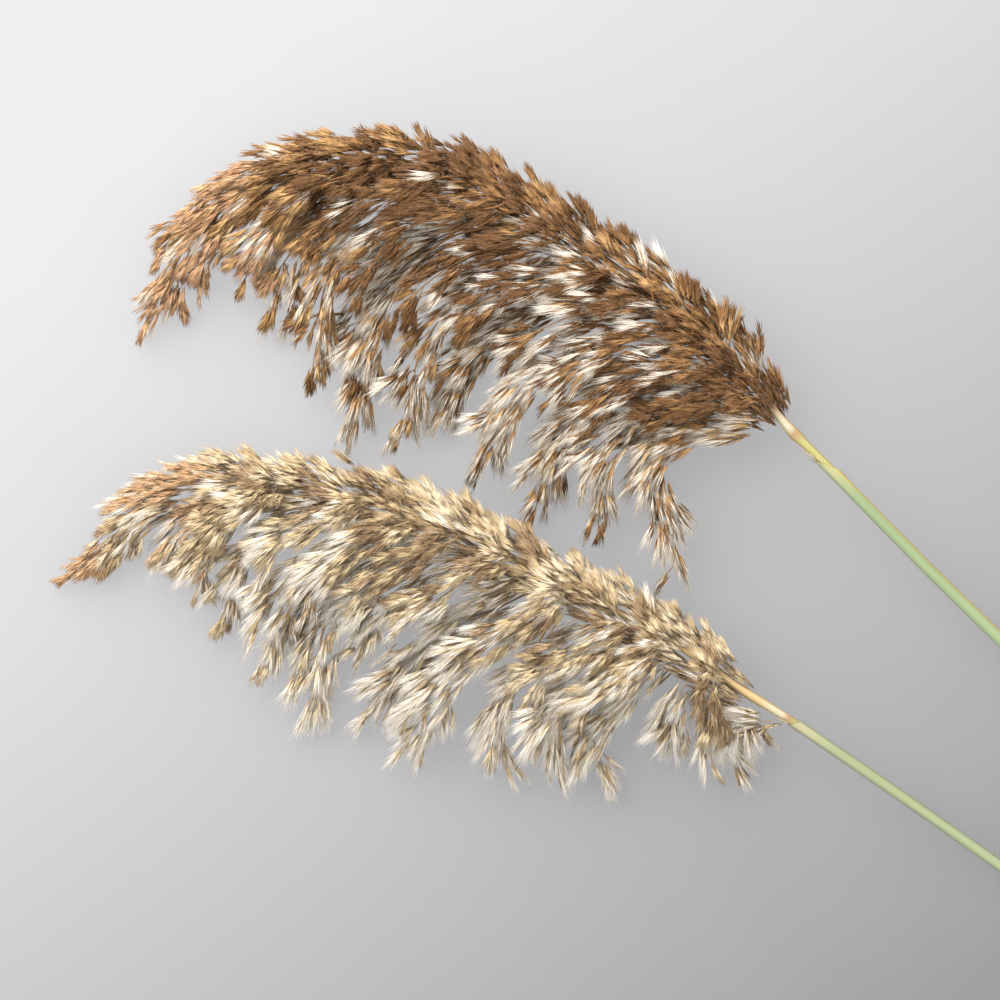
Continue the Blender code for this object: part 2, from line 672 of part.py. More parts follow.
def main():
    for obj in list(bpy.data.objects):
        bpy.data.objects.remove(obj)
    parts = bpy.data.collections.new("Bunch_of_reeds")
    cutters = bpy.data.collections.new("Cutters")
    for collection in (parts, cutters):
        bpy.context.scene.collection.children.link(collection)
    profiles = {"main": section(MAIN_SIDES), "fork": section(FORK_SIDES)}
    round_profile = section(CULM_SIDES)

    reeds = [(reed, axis_of(reed)) for reed in (UPPER, LOWER)]
    locks = [lock for reed, axis in reeds for lock in plume_locks(reed, axis)]
    part_locks(locks, reeds)

    for reed, axis in reeds:
        name = reed["name"]
        plume = material(f"{name}_plume", reed["plume_colour"], 0.8)
        stem_object(reed, axis, round_profile, material(f"{name}_stem", STRAW, 0.5), parts)
        sheath_object(reed, axis, round_profile, material(f"{name}_sheath", GREEN, 0.5), parts)
        branches = {}
        for lock in locks:
            if lock.node.startswith(name):
                branches.setdefault(lock.node, []).append(lock)
        for node, of_branch in branches.items():
            branch_object(node, of_branch, profiles, plume, parts)


main()
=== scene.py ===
"""The looks of a bunch of two cut reeds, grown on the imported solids.

A branch of a plume is made anew on the lines that its solid follows: a twig on each line, and
on the twigs spikelets of pointed husks with silk between them. Stems and leaf sheaths are drawn
along the middle lines of their solids. Sizes are in metres and colours are linear.
"""

import json
import math
from dataclasses import dataclass, replace

import bmesh
import bpy
import numpy as np
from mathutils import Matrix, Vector
from mathutils.kdtree import KDTree

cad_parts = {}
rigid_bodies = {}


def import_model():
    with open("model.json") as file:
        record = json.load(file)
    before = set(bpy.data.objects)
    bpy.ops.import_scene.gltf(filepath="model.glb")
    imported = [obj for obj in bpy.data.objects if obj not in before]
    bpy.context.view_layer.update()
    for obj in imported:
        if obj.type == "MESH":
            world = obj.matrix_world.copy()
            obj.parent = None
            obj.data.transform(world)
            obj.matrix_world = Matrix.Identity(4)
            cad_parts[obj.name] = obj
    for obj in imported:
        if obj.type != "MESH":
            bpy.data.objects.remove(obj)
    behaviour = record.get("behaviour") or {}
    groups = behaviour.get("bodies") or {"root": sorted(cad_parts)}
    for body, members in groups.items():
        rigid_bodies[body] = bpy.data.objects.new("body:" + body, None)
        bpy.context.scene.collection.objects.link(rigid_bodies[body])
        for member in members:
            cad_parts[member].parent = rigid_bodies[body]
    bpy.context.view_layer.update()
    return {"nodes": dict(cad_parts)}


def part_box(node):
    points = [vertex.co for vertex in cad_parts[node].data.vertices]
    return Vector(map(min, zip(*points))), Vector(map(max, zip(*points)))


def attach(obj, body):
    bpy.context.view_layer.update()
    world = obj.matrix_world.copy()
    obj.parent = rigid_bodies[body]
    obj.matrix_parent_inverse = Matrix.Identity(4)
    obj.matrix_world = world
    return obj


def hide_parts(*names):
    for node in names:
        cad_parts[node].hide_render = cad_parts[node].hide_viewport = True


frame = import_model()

MM = 0.001
nodes = frame["nodes"]

# the solids are read at this fineness, and followed in steps of this length
FINE_EDGE = 5 * MM
CUTTING_ROUNDS = 7
SAME_POINT = 0.02 * MM
STATION = 6 * MM
EVENING_ROUNDS = 2
# nothing shorter or thinner than these is divided by
LEAST_LENGTH = 1e-9
LEAST_RADIUS = 0.1 * MM

# a husk is this long and wide, thickest at this share of its length
HUSK_LENGTH = 10.2 * MM
HUSK_WIDTH = 1.05 * MM
HUSK_THICKNESS = 0.55 * MM
HUSK_BELLY = 0.32
# what the triangle in a circle of the husk's width is stretched by, to fill width and thickness
BELLY_WIDENING = 1.15
BELLY_THICKENING = 1.33
# the husk's tip leans to its keel by this share of its thickness
TIP_LEAN = 0.1
SILK_LENGTH = 11.0 * MM
SILK_RADIUS = 0.235 * MM

# how each husk of a spikelet sits: its lean, heading, scale and height on the stalk
HUSK_SEATS = ((0.03, 0.3, 1.0, 0.0), (0.13, 2.3, 0.88, 0.6 * MM), (0.17, -2.0, 0.76, 1.6 * MM),
              (0.22, 1.1, 0.68, 3.0 * MM), (0.15, -0.9, 0.82, 2.2 * MM))
# the silky kind has only the first husks, and all the hairs
HUSKS_WITH_SILK = 2
# each hair is turned and raised on from the one before, with leans and scales by turns
HAIRS = 8
HAIR_TURN = 2.4
FIRST_HAIR = 0.4 * MM
HAIR_RISE = 0.6 * MM
HAIR_LEANS = (0.04, 0.09, 0.14)
HAIR_SCALES = (0.86, 0.96, 1.06)

# where the random draws for the plumes and for the fibres at the sheaths' mouths start
PLUME_SEEDS = {"upper": 11, "lower": 12}
FIBRE_SEED = 21
# how many spikelets each plume has
SPIKELETS = {"upper": 12600, "lower": 10700}
# spikelets spread at least this far from a line, by the kind of branch, and less at its tip
LEAST_SPREAD = {"side": 9.2 * MM, "top": 10 * MM, "under": 8 * MM, "tip": 12.5 * MM}
LEAST_DEPTH = 5.5 * MM
# the branches nearest a plume's base, up to this share of it, spread by so much more
BASE_SHARE = 0.25
BASE_FULLNESS = {"upper": 0.0, "lower": 0.5}
# the tip branch has so many times the spikelets that its size would give it
TIP_FULLNESS = 1.4
# beside the axis spikelets spread by so much, and by this share of it up and down, and they
# start so far below the lowest branch
AXIS_SPREAD = 12 * MM
AXIS_DEPTH = 0.8
BASE_REACH = {"upper": 3 * MM, "lower": -14 * MM}
# the bridge from the axis to the tip branch takes so many stations at its ends and spreads so far
BRIDGE_STATIONS = 4
BRIDGE_SPREAD = 11.5 * MM
# branches narrow over this length before their ends, down to this share
TAPER = 85 * MM
END_SHARE = 0.1
# spikelets sit in tufts this long and thick, so many to a tuft
TUFT_LENGTH = 18 * MM
TUFT_RADIUS = 3.4 * MM
TUFT_SIZE = 5
# how much tufts differ in length, the most they do, and how short they get at an end
TUFT_VARIATION = 0.14
TUFT_RANGE = 0.35
END_TUFT = 0.68
# tufts below this sine round a branch move to its upper side, so often
UNDERSIDE = -0.2
TURNED_UP = 0.4
# this share of a tuft stays behind the end of its line
TUFT_BEHIND = 0.75
# tufts root up to the square root of this share of the way out, and their tips get so far
ROOT_SPREAD = 0.7
TIP_REACH = (0.95, 1.2)
# how steeply a tuft leaves its line at most, as a share of its length
STEEPEST = (0.08, 0.38)
HEADING_SCATTER = 0.9 * MM
ROLL_SCATTER = 0.8
# how much spikelets differ in scale and the most they do
SPIKELET_VARIATION = 0.12
SPIKELET_RANGE = 0.3
# how far up a tuft its last spikelet starts, counted back from the end in husk lengths
LAST_SPIKELET = 0.8
# how far spikelets stand off the middle of a tuft and how far they open, both less further up
STAND_OFF = (0.15, 0.6)
STAND_OFF_LOSS = 0.4
OPENING = (0.02, 0.16)
OPENING_LOSS = 0.5
DROOP = 0.16
SPIKELET_SCATTER = 0.05
# the lowest that spikelets lie, from where up they settle, and how much for each metre squared
LEAST_HEIGHT = 0.25 * MM
SETTLING_HEIGHT = 30 * MM
SETTLING = 8.4
# a twig's radius, the share of it at the twig's end, and the length over which it gains one whole
TWIG_RADIUS = 0.34 * MM
TWIG_END = 0.5
TWIG_TAPER = 90 * MM
# a twig has the colour that a brown husk has at this share of its length
TWIG_PLACE = 0.3

# the tones of husks, in the order in which the plume's colour ramp has them
DARK, BROWN, GOLD, STRAW, RUSSET, SILK = 0.06, 0.24, 0.42, 0.60, 0.78, 0.96
# between them the ramp has a paler russet and a duller silk, and silk begins just below that
PALE_RUSSET = RUSSET + 0.08
DULL_SILK = SILK - 0.05
SILK_START = SILK - 0.07
HUSK_TONES = (DARK, BROWN, GOLD, STRAW, RUSSET)
TONE_SPREAD = 0.05
SILK_TONE_SPREAD = (-0.04, 0.03)
# silk and tones come in patches of these sizes, this much blurred
PATCH_LENGTHS = (17 * MM, 23 * MM, 31 * MM, 44 * MM, 61 * MM)
PATCH_NOISE = 1.1
# each size's waves are turned and shifted on from those of the size before
PATCH_TURN = 2.4
PATCH_SHIFT = 1.7
# where the patches of tone and those of silk start to turn
TONE_PATCHES = 0.9
SILK_PATCHES = 2.2
# over this length before their ends locks narrow to this share, their spikelets close up,
# and they have less silk and browner husks
POINT_LENGTH = 30 * MM
POINT_SHARE = 0.32
POINT_CLOSING = 0.6
POINT_SILK = 2.6
POINT_TONE = 0.8
# how much silkier and how much further on in the order of tones a branch is at its outer end
SILK_OUTWARD = 1.3
TONE_OUTWARD = {"side": 1.6, "top": 1.6, "under": 1.6, "tip": 7.0}
# the same for each kind of branch, as against one another
SILK_BY_KIND = {"side": 1.05, "top": 0.07, "under": 1.1, "tip": 0.4}
TONE_BY_KIND = {"upper": {"side": 0.04, "top": -0.32, "under": 0.04, "tip": 0.0},
                "lower": {"side": 0.04, "top": -0.16, "under": 0.04, "tip": 0.0}}
# where silk gathers: a place in the plan and how wide it is
SILK_PLACES = {
    "upper": ((-0.042, 0.116, 0.027), (-0.007, 0.140, 0.007), (-0.074, 0.077, 0.019),
              (-0.029, 0.064, 0.019), (-0.004, 0.037, 0.010)),
    "lower": ((-0.164, 0.010, 0.018), (-0.132, -0.022, 0.020), (-0.020, -0.044, 0.016),
              (-0.083, -0.022, 0.016)),
}
SILK_PULL = 0.9
# where husks are darker, as painted shade, as places in the same form
PAINTED_SHADE_PLACES = {
    "upper": ((-0.096, 0.176, 0.030), (-0.132, 0.185, 0.024), (-0.065, 0.140, 0.022),
              (-0.011, 0.086, 0.012), (-0.112, 0.122, 0.026)),
    "lower": ((-0.155, 0.000, 0.012), (-0.112, 0.016, 0.016), (-0.068, -0.010, 0.012)),
}
PAINTED_SHADE_PULL = 0.42
# how often each tone comes at these shares of a plume, in the order of the ramp
MIX_SHARES = (0.0, 0.5, 0.85, 1.0)
UPPER_MIX = ((0.26, 0.36, 0.26, 0.12, 0.00), (0.18, 0.36, 0.32, 0.13, 0.01),
             (0.05, 0.20, 0.32, 0.14, 0.29), (0.04, 0.12, 0.16, 0.06, 0.62))
LOWER_MIX = ((0.05, 0.16, 0.33, 0.46, 0.00), (0.03, 0.13, 0.34, 0.50, 0.00),
             (0.03, 0.13, 0.36, 0.46, 0.02), (0.03, 0.12, 0.17, 0.16, 0.52))
# the share of spikelets with silk at the base, in the middle and near the tip
SILKY_SHARES = (0.0, 0.5, 0.85)
SILKY = {"upper": (0.80, 0.74, 0.18), "lower": (0.84, 0.94, 0.36)}


# Measuring the solids

@dataclass
class Growth:
    """The lines that a solid follows, as stations from its root outwards."""
    centre: np.ndarray
    parent: np.ndarray
    run: np.ndarray
    way: np.ndarray
    side: np.ndarray
    up: np.ndarray
    wide: np.ndarray
    tall: np.ndarray
    tip_run: np.ndarray


def unit(vectors):
    """The vectors at length 1."""
    lengths = np.linalg.norm(vectors, axis=-1, keepdims=True)
    return vectors / np.maximum(lengths, LEAST_LENGTH)


def fine_mesh(node):
    """The points and edges of a node's mesh, cut finer."""
    shape = bmesh.new()
    shape.from_mesh(nodes[node].data)
    bmesh.ops.remove_doubles(shape, verts=shape.verts, dist=SAME_POINT)
    for _ in range(CUTTING_ROUNDS):
        long_edges = [edge for edge in shape.edges if edge.calc_length() > FINE_EDGE]
        if not long_edges:
            break
        bmesh.ops.subdivide_edges(shape, edges=long_edges, cuts=1)
        bmesh.ops.triangulate(shape, faces=[face for face in shape.faces if len(face.verts) > 3])
    points = np.array([vertex.co for vertex in shape.verts])
    edges = np.array([[vertex.index for vertex in edge.verts] for edge in shape.edges])
    shape.free()
    return points, edges


def spread_over(edges, start, step):
    """Carries the lowest values over the edges, each step adding to them, until nothing changes."""
    values = start
    while True:
        lower = values.copy()
        np.minimum.at(lower, edges[:, 0], values[edges[:, 1]] + step)
        np.minimum.at(lower, edges[:, 1], values[edges[:, 0]] + step)
        if np.array_equal(lower, values):
            return values
        values = lower


def stations_of(points, edges, start):
    """The middles of a solid's cross-sections from its root outwards, and what each grows from."""
    lengths = np.linalg.norm(points[edges[:, 0]] - points[edges[:, 1]], axis=1)
    far = np.full(len(points), np.inf)
    far[start] = 0
    run = spread_over(edges, far, lengths)
    band = (run / STATION).astype(int)
    within = edges[band[edges[:, 0]] == band[edges[:, 1]]]
    patch = spread_over(within, np.arange(len(points)), 0)
    names, station = np.unique(patch, return_inverse=True)
    size = np.bincount(station)
    centre = np.array([np.bincount(station, column) for column in points.T]).T / size[:, None]
    station_run = np.bincount(station, run) / size
    ends = station[edges]
    ends = ends[ends[:, 0] != ends[:, 1]]
    later = station_run[ends].argmax(axis=1)
    rows = np.arange(len(ends))
    links = np.column_stack([ends[rows, later], ends[rows, 1 - later]])
    parent = np.full(len(names), -1)
    for child in range(len(names)):
        before = links[links[:, 0] == child, 1]
        if len(before):
            parent[child] = np.bincount(before).argmax()
    return centre, station_run, parent, station


def growth_of(node, start_near):
    """The lines that a node grows along from its point nearest the given one."""
    points, edges = fine_mesh(node)
    start = np.linalg.norm(points - np.array(start_near), axis=1).argmin()
    centre, run, parent, station = stations_of(points, edges, start)
    order = run.argsort()
    place = order.argsort()
    centre, run = centre[order], run[order]
    parent = np.array([-1 if p < 0 else place[p] for p in parent[order]])
    station = place[station]
    grown = parent >= 0
    for _ in range(EVENING_ROUNDS):
        before = centre[np.where(grown, parent, np.arange(len(centre)))]
        after = centre.copy()
        after[parent[grown]] = centre[grown]
        centre = 0.5 * centre + 0.25 * before + 0.25 * after
    way = centre - centre[np.where(grown, parent, 0)]
    way[~grown] = way[grown][0] if grown.any() else (1, 0, 0)
    way = unit(way)
    side = unit(np.cross(way, (0.0, 0.0, 1.0)))
    up = np.cross(side, way)
    offset = points - centre[station]
    wide, tall = np.zeros(len(centre)), np.zeros(len(centre))
    np.maximum.at(wide, station, np.abs((offset * side[station]).sum(axis=1)))
    np.maximum.at(tall, station, np.abs((offset * up[station]).sum(axis=1)))
    tip_run = run.copy()
    for child in range(len(centre) - 1, -1, -1):
        if grown[child]:
            tip_run[parent[child]] = max(tip_run[parent[child]], tip_run[child])
    return Growth(centre, parent, run, way, side, up, wide, tall, tip_run)


def chains(growth):
    """The growth's lines as runs of stations, each from where it forks off to its tip."""
    used = np.zeros(len(growth.run), bool)
    found = []
    for tip in np.argsort(-growth.run):
        if used[tip]:
            continue
        line = [tip]
        while growth.parent[line[-1]] >= 0 and not used[line[-1]]:
            used[line[-1]] = True
            line.append(growth.parent[line[-1]])
        used[line[-1]] = True
        if len(line) > 2:
            found.append(line[::-1])
    return found


# Modelling with the usual tools

def only(obj):
    """Selects this object alone and makes it the active one."""
    bpy.ops.object.select_all(action="DESELECT")
    obj.select_set(True)
    bpy.context.view_layer.objects.active = obj


def placed(name, data):
    """A new object with this data, in the scene."""
    obj = bpy.data.objects.new(name, data)
    bpy.context.scene.collection.objects.link(obj)
    return obj


def add_line(curve, points, radii):
    """Adds a line through the points to a curve, with its radius at each."""
    spline = curve.splines.new("POLY")
    spline.points.add(len(points) - 1)
    for point, place, radius in zip(spline.points, points, radii):
        point.co = (*place, 1)
        point.radius = radius


def as_mesh(curve):
    """A new mesh object in the form of a curve."""
    only(placed(curve.name, curve))
    bpy.ops.object.convert(target="MESH")
    return bpy.context.object


def face_outwards():
    """Turns the faces of the mesh in edit mode outwards, and leaves edit mode."""
    bpy.ops.mesh.select_all(action="SELECT")
    bpy.ops.mesh.normals_make_consistent(inside=False)
    bpy.ops.object.mode_set(mode="OBJECT")


def set_uv(mesh, name, u, v):
    """Gives a mesh a UV map from values at its points, and the same map for baking."""
    corners = np.empty(len(mesh.loops), np.int32)
    mesh.loops.foreach_get("vertex_index", corners)
    flat = np.column_stack([u[corners], v[corners]]).astype(np.float32).ravel()
    for layer in (name, "OFBake"):
        mesh.uv_layers.new(name=layer).data.foreach_set("uv", flat)
    mesh.uv_layers.active_index = 0


def husk():
    """One pointed husk along +Z, its keel towards +Y: a belly drawn out to two ends."""
    bpy.ops.object.select_all(action="DESELECT")
    bpy.ops.mesh.primitive_circle_add(vertices=3, radius=0.5 * HUSK_WIDTH, fill_type="NOTHING",
                                      location=(0, 0, HUSK_BELLY * HUSK_LENGTH))
    obj = bpy.context.object
    bpy.ops.object.transform_apply(location=True)
    bpy.ops.object.mode_set(mode="EDIT")
    bpy.ops.transform.resize(
        value=(BELLY_WIDENING, HUSK_THICKNESS / HUSK_WIDTH * BELLY_THICKENING, 1))
    to_tip = (0, TIP_LEAN * HUSK_THICKNESS, (1 - HUSK_BELLY) * HUSK_LENGTH)
    bpy.ops.mesh.extrude_region_move(TRANSFORM_OT_translate={"value": to_tip})
    bpy.ops.mesh.merge(type="CENTER")
    bpy.ops.mesh.select_all(action="DESELECT")
    bpy.ops.object.mode_set(mode="OBJECT")
    for vertex in obj.data.vertices:
        vertex.select = vertex.co.z < 0.5 * HUSK_LENGTH
    bpy.ops.object.mode_set(mode="EDIT")
    to_root = (0, 0, -HUSK_BELLY * HUSK_LENGTH)
    bpy.ops.mesh.extrude_region_move(TRANSFORM_OT_translate={"value": to_root})
    bpy.ops.mesh.merge(type="CENTER")
    face_outwards()
    return obj


def silk_hair():
    """One silky hair along +Z, from its root at the origin."""
    bpy.ops.object.select_all(action="DESELECT")
    bpy.ops.mesh.primitive_cone_add(vertices=3, radius1=SILK_RADIUS, radius2=0, depth=SILK_LENGTH,
                                    location=(0, 0, 0.5 * SILK_LENGTH))
    bpy.ops.object.transform_apply(location=True)
    return bpy.context.object


@dataclass
class Shape:
    """Triangles with, at each point, how far along it is from root to tip, and what is silk."""
    points: np.ndarray
    triangles: np.ndarray
    along: np.ndarray
    silk: np.ndarray


def shape_of(obj, silk, length):
    """Reads an object's mesh as a Shape and removes the object."""
    obj.data.calc_loop_triangles()
    points = np.array([vertex.co for vertex in obj.data.vertices])
    triangles = np.array([list(triangle.vertices) for triangle in obj.data.loop_triangles])
    bpy.data.objects.remove(obj)
    along = np.clip(points[:, 2] / length, 0, 1)
    return Shape(points, triangles, along, np.full(len(points), float(silk)))


def turned(shape, lean, heading, scale, lift):
    """A copy of a shape: leant over by an angle towards a heading round Z, scaled and lifted."""
    points = shape.points * scale
    c, s = math.cos(lean), math.sin(lean)
    x, y, z = points[:, 0], points[:, 1], points[:, 2]
    leant = np.column_stack([x, c * y + s * z, c * z - s * y])
    c, s = math.cos(heading), math.sin(heading)
    x, y, z = leant.T
    around = np.column_stack([c * x - s * y, s * x + c * y, z + lift])
    return Shape(around, shape.triangles, shape.along, shape.silk)


def merged(shapes):
    """Several shapes as one."""
    starts = np.cumsum([0] + [len(shape.points) for shape in shapes])
    return Shape(
        np.vstack([shape.points for shape in shapes]),
        np.vstack([shape.triangles + start for shape, start in zip(shapes, starts)]),
        np.concatenate([shape.along for shape in shapes]),
        np.concatenate([shape.silk for shape in shapes]),
    )


def spikelet_shapes():
    """Two kinds of spikelet, plain and silky: husks that part towards their tips, and silk."""
    one_husk = shape_of(husk(), False, HUSK_LENGTH)
    hair = shape_of(silk_hair(), True, SILK_LENGTH)
    husks = [turned(one_husk, *seat) for seat in HUSK_SEATS]
    hairs = [
        turned(hair, HAIR_LEANS[k % 3], HAIR_TURN * k, HAIR_SCALES[k % 3],
               FIRST_HAIR + HAIR_RISE * k)
        for k in range(HAIRS)
    ]
    return merged(husks + hairs[:1]), merged(husks[:HUSKS_WITH_SILK] + hairs)


# Growing the plumes

def mixed_shares(rows, share):
    """What a table with a row for each of the mix shares says at a share of the plume."""
    return np.array([np.interp(share, MIX_SHARES, column) for column in zip(*rows)])


def rank(values):
    """Each value's place in the order of all of them, from 0 to 1."""
    return (values.argsort().argsort() + 0.5) / len(values)


def patchy(points, turn):
    """An even mix of long and short waves over the plan, for what comes in patches."""
    total = np.zeros(len(points))
    for k, length in enumerate(PATCH_LENGTHS):
        angle = turn + PATCH_TURN * k
        along = points[:, 0] * math.cos(angle) + points[:, 1] * math.sin(angle)
        total += np.sin(2 * math.pi * along / length + PATCH_SHIFT * k + turn)
    return total


def nearness(points, places):
    """How near to one of the places each point is in the plan, from 0 to 1."""
    return np.max([np.exp(-((points[:, 0] - x) ** 2 + (points[:, 1] - y) ** 2) / wide ** 2)
                   for x, y, wide in places], axis=0)


def tones_at(mix, share, points, outward, near_end, shift, rng):
    """Husk tones in patches, with the mix that the plume has at this share of it."""
    shares = np.cumsum(mixed_shares(mix, share))
    noise = rng.normal(0, PATCH_NOISE, len(points))
    order = rank(patchy(points, TONE_PATCHES) + noise + outward) + shift
    order -= POINT_TONE * (1 - share) * near_end * rng.random(len(points))
    place = np.searchsorted(shares / shares[-1], order.clip(0, 1))
    return np.array(HUSK_TONES)[place.clip(0, len(HUSK_TONES) - 1)]


def fuller(growth, spread):
    """The same growth, nowhere narrower than the spread, which tapers towards the tips."""
    left = growth.tip_run - growth.run
    share = np.minimum(1, END_SHARE + (1 - END_SHARE) * left / TAPER)
    wide = np.maximum(growth.wide, spread * share)
    tall = np.maximum(growth.tall, LEAST_DEPTH * share)
    return replace(growth, wide=wide, tall=tall)


def joined(growths):
    """Several growths as one, each keeping its own root."""
    starts = np.cumsum([0] + [len(growth.run) for growth in growths])
    parent = [np.where(growth.parent < 0, -1, growth.parent + start)
              for growth, start in zip(growths, starts)]
    stacked = {key: np.concatenate([getattr(growth, key) for growth in growths])
               for key in ("centre", "run", "way", "side", "up", "wide", "tall", "tip_run")}
    return Growth(parent=np.concatenate(parent), **stacked)


def along_line(points, spread):
    """A growth that follows a line of points, for spikelets beside a solid's own lines."""
    steps = np.diff(points, axis=0)
    way = unit(np.vstack([steps[:1], steps]))
    run = np.concatenate([[0], np.cumsum(np.linalg.norm(steps, axis=1))])
    side = unit(np.cross(way, (0.0, 0.0, 1.0)))
    full = np.full(len(points), spread)
    return Growth(points, np.arange(len(points)) - 1, run, way, side, np.cross(side, way),
                  full, AXIS_DEPTH * full, run + TAPER)


def stretch_of(stem, low, high, spread):
    """The stretch of a stem between two runs."""
    kept = np.flatnonzero((stem.run >= low) & (stem.run <= high))
    return along_line(stem.centre[kept[stem.run[kept].argsort()]], spread)


def bridge(stem, growth, spread):
    """From the end of the stem's axis over to the start of the tip branch."""
    end = stem.centre[stem.run.argsort()[-BRIDGE_STATIONS:]]
    start = growth.centre[chains(growth)[0][1:BRIDGE_STATIONS]]
    return along_line(np.vstack([end, start]), spread)


def tuft_places(growth, count, rng):
    """Where tufts sit and point: roots, three axes, sizes, how far out and how near an end."""
    grown = np.flatnonzero(growth.parent >= 0)
    parent = growth.parent[grown]
    length = np.linalg.norm(growth.centre[grown] - growth.centre[parent], axis=1)
    weight = length * (growth.wide[grown] + growth.tall[grown])
    pick = rng.choice(len(grown), size=count, p=weight / weight.sum())
    here, before = grown[pick], parent[pick]
    t = rng.random(count)

    def between(values):
        return (values[before].T * (1 - t) + values[here].T * t).T

    at, run, way = between(growth.centre), between(growth.run), unit(between(growth.way))
    side, up = unit(between(growth.side)), unit(between(growth.up))
    angle = rng.uniform(0, 2 * math.pi, count)
    low = (np.sin(angle) < UNDERSIDE) & (rng.random(count) < TURNED_UP)
    angle[low] *= -1
    out = (np.cos(angle) * between(growth.wide) * side.T
           + np.sin(angle) * between(growth.tall) * up.T).T
    left = growth.tip_run[here] - run
    near_end = 1 - (left / POINT_LENGTH).clip(0, 1)
    reach = np.linalg.norm(out, axis=1) * (1 - (1 - POINT_SHARE) * near_end)
    out = unit(out)
    size = rng.normal(1.0, TUFT_VARIATION, count).clip(1 - TUFT_RANGE, 1 + TUFT_RANGE)
    size *= TUFT_LENGTH * (END_TUFT + (1 - END_TUFT) * np.minimum(1, left / TAPER))
    at = at - way * np.maximum(0, TUFT_BEHIND * size - left)[:, None]
    root = np.sqrt(rng.uniform(0.0, ROOT_SPREAD, count))
    lift = (rng.uniform(*TIP_REACH, count) - root) * reach
    lift = np.minimum(lift, rng.uniform(*STEEPEST, count) * size)
    ahead = np.sqrt(size ** 2 - lift ** 2)
    scatter = rng.normal(0, HEADING_SCATTER, (count, 3))
    heading = unit(way * ahead[:, None] + out * lift[:, None] + scatter)
    roll = rng.normal(0, ROLL_SCATTER, count)
    face = unit(out - heading * (out * heading).sum(axis=1)[:, None])
    across = np.cross(face, heading)
    turned_face = face * np.cos(roll)[:, None] + across * np.sin(roll)[:, None]
    across = np.cross(turned_face, heading)
    outward = run / growth.run.max()
    return at + out * (root * reach)[:, None], across, turned_face, heading, size, outward, near_end


def in_tufts(tufts, rng):
    """Where the spikelets of each tuft sit and point, the same way round as the tufts'."""
    root, across, face, heading, size, _, near_end = [
        np.repeat(values, TUFT_SIZE, axis=0) for values in tufts
    ]
    count = len(root)
    scale = rng.normal(1.0, SPIKELET_VARIATION, count).clip(1 - SPIKELET_RANGE, 1 + SPIKELET_RANGE)
    order = (np.tile(np.arange(TUFT_SIZE), count // TUFT_SIZE) + rng.random(count)) / TUFT_SIZE
    along = order * (size - LAST_SPIKELET * scale * HUSK_LENGTH).clip(0)
    angle = rng.uniform(0, 2 * math.pi, count)
    out = across * np.cos(angle)[:, None] + face * np.sin(angle)[:, None]
    closing = 1 - POINT_CLOSING * near_end
    off = TUFT_RADIUS * rng.uniform(*STAND_OFF, count) * (1 - STAND_OFF_LOSS * order) * closing
    opening = rng.uniform(*OPENING, count) * (1 - OPENING_LOSS * order) * closing
    droop = np.array([0.0, 0.0, -1.0]) * (DROOP * order)[:, None]
    scatter = rng.normal(0, SPIKELET_SCATTER, (count, 3))
    way = unit(heading + out * opening[:, None] + droop + scatter)
    front = unit(out - way * (out * way).sum(axis=1)[:, None])
    return (root + heading * along[:, None] + out * off[:, None],
            np.cross(front, way), front, way, scale)


def copies(shape, places, tones, rng):
    """The shape at each place, as one Shape's arrays, with a tone for each point."""
    root, across, face, heading, scale = places
    local = shape.points
    points = (root[:, None, :]
              + scale[:, None, None] * (local[None, :, 0, None] * across[:, None, :]
                                        + local[None, :, 1, None] * face[:, None, :]
                                        + local[None, :, 2, None] * heading[:, None, :]))
    count, size = len(root), len(local)
    triangles = shape.triangles[None] + size * np.arange(count)[:, None, None]
    husk_tone = np.repeat(tones[:, None], size, axis=1)
    silk_tone = SILK + rng.uniform(*SILK_TONE_SPREAD, (count, 1))
    tone = np.where(shape.silk[None] > 0, silk_tone, husk_tone)
    along = np.repeat(shape.along[None], count, axis=0)
    return points.reshape(-1, 3), triangles.reshape(-1, 3), tone.ravel(), along.ravel()


def twigs(growth, name):
    """Thin twigs along the growth's lines, as arrays like those of the copies."""
    curve = bpy.data.curves.new(name + "_twigs", "CURVE")
    curve.dimensions = "3D"
    curve.bevel_depth = TWIG_RADIUS
    curve.bevel_resolution = 0
    curve.use_fill_caps = True
    for line in chains(growth):
        left = growth.tip_run[line] - growth.run[line]
        add_line(curve, growth.centre[line], TWIG_END + np.minimum(1.0, left / TWIG_TAPER))
    shape = shape_of(as_mesh(curve), False, 1.0)
    count = len(shape.points)
    return shape.points, shape.triangles, np.full(count, BROWN), np.full(count, TWIG_PLACE)


def settled(heights):
    """Heights eased down, the more the higher they are, so that they stay within the solids'."""
    above = np.maximum(heights - SETTLING_HEIGHT, 0)
    return np.maximum(heights - SETTLING * above ** 2, LEAST_HEIGHT)


def mesh_from(name, parts):
    """One object from several sets of arrays, with its tones and lengths as a UV map."""
    starts = np.cumsum([0] + [len(part[0]) for part in parts])
    points = np.vstack([part[0] for part in parts])
    points[:, 2] = settled(points[:, 2])
    triangles = np.vstack([part[1] + start for part, start in zip(parts, starts)])
    tone = np.concatenate([part[2] for part in parts])
    along = np.concatenate([part[3] for part in parts])
    mesh = bpy.data.meshes.new(name)
    mesh.vertices.add(len(points))
    mesh.vertices.foreach_set("co", points.astype(np.float32).ravel())
    mesh.loops.add(triangles.size)
    mesh.loops.foreach_set("vertex_index", triangles.astype(np.int32).ravel())
    mesh.polygons.add(len(triangles))
    mesh.polygons.foreach_set("loop_start", np.arange(0, triangles.size, 3, dtype=np.int32))
    mesh.update(calc_edges=True)
    set_uv(mesh, "tone_and_length", tone, along)
    mesh.validate()
    return placed(name, mesh)


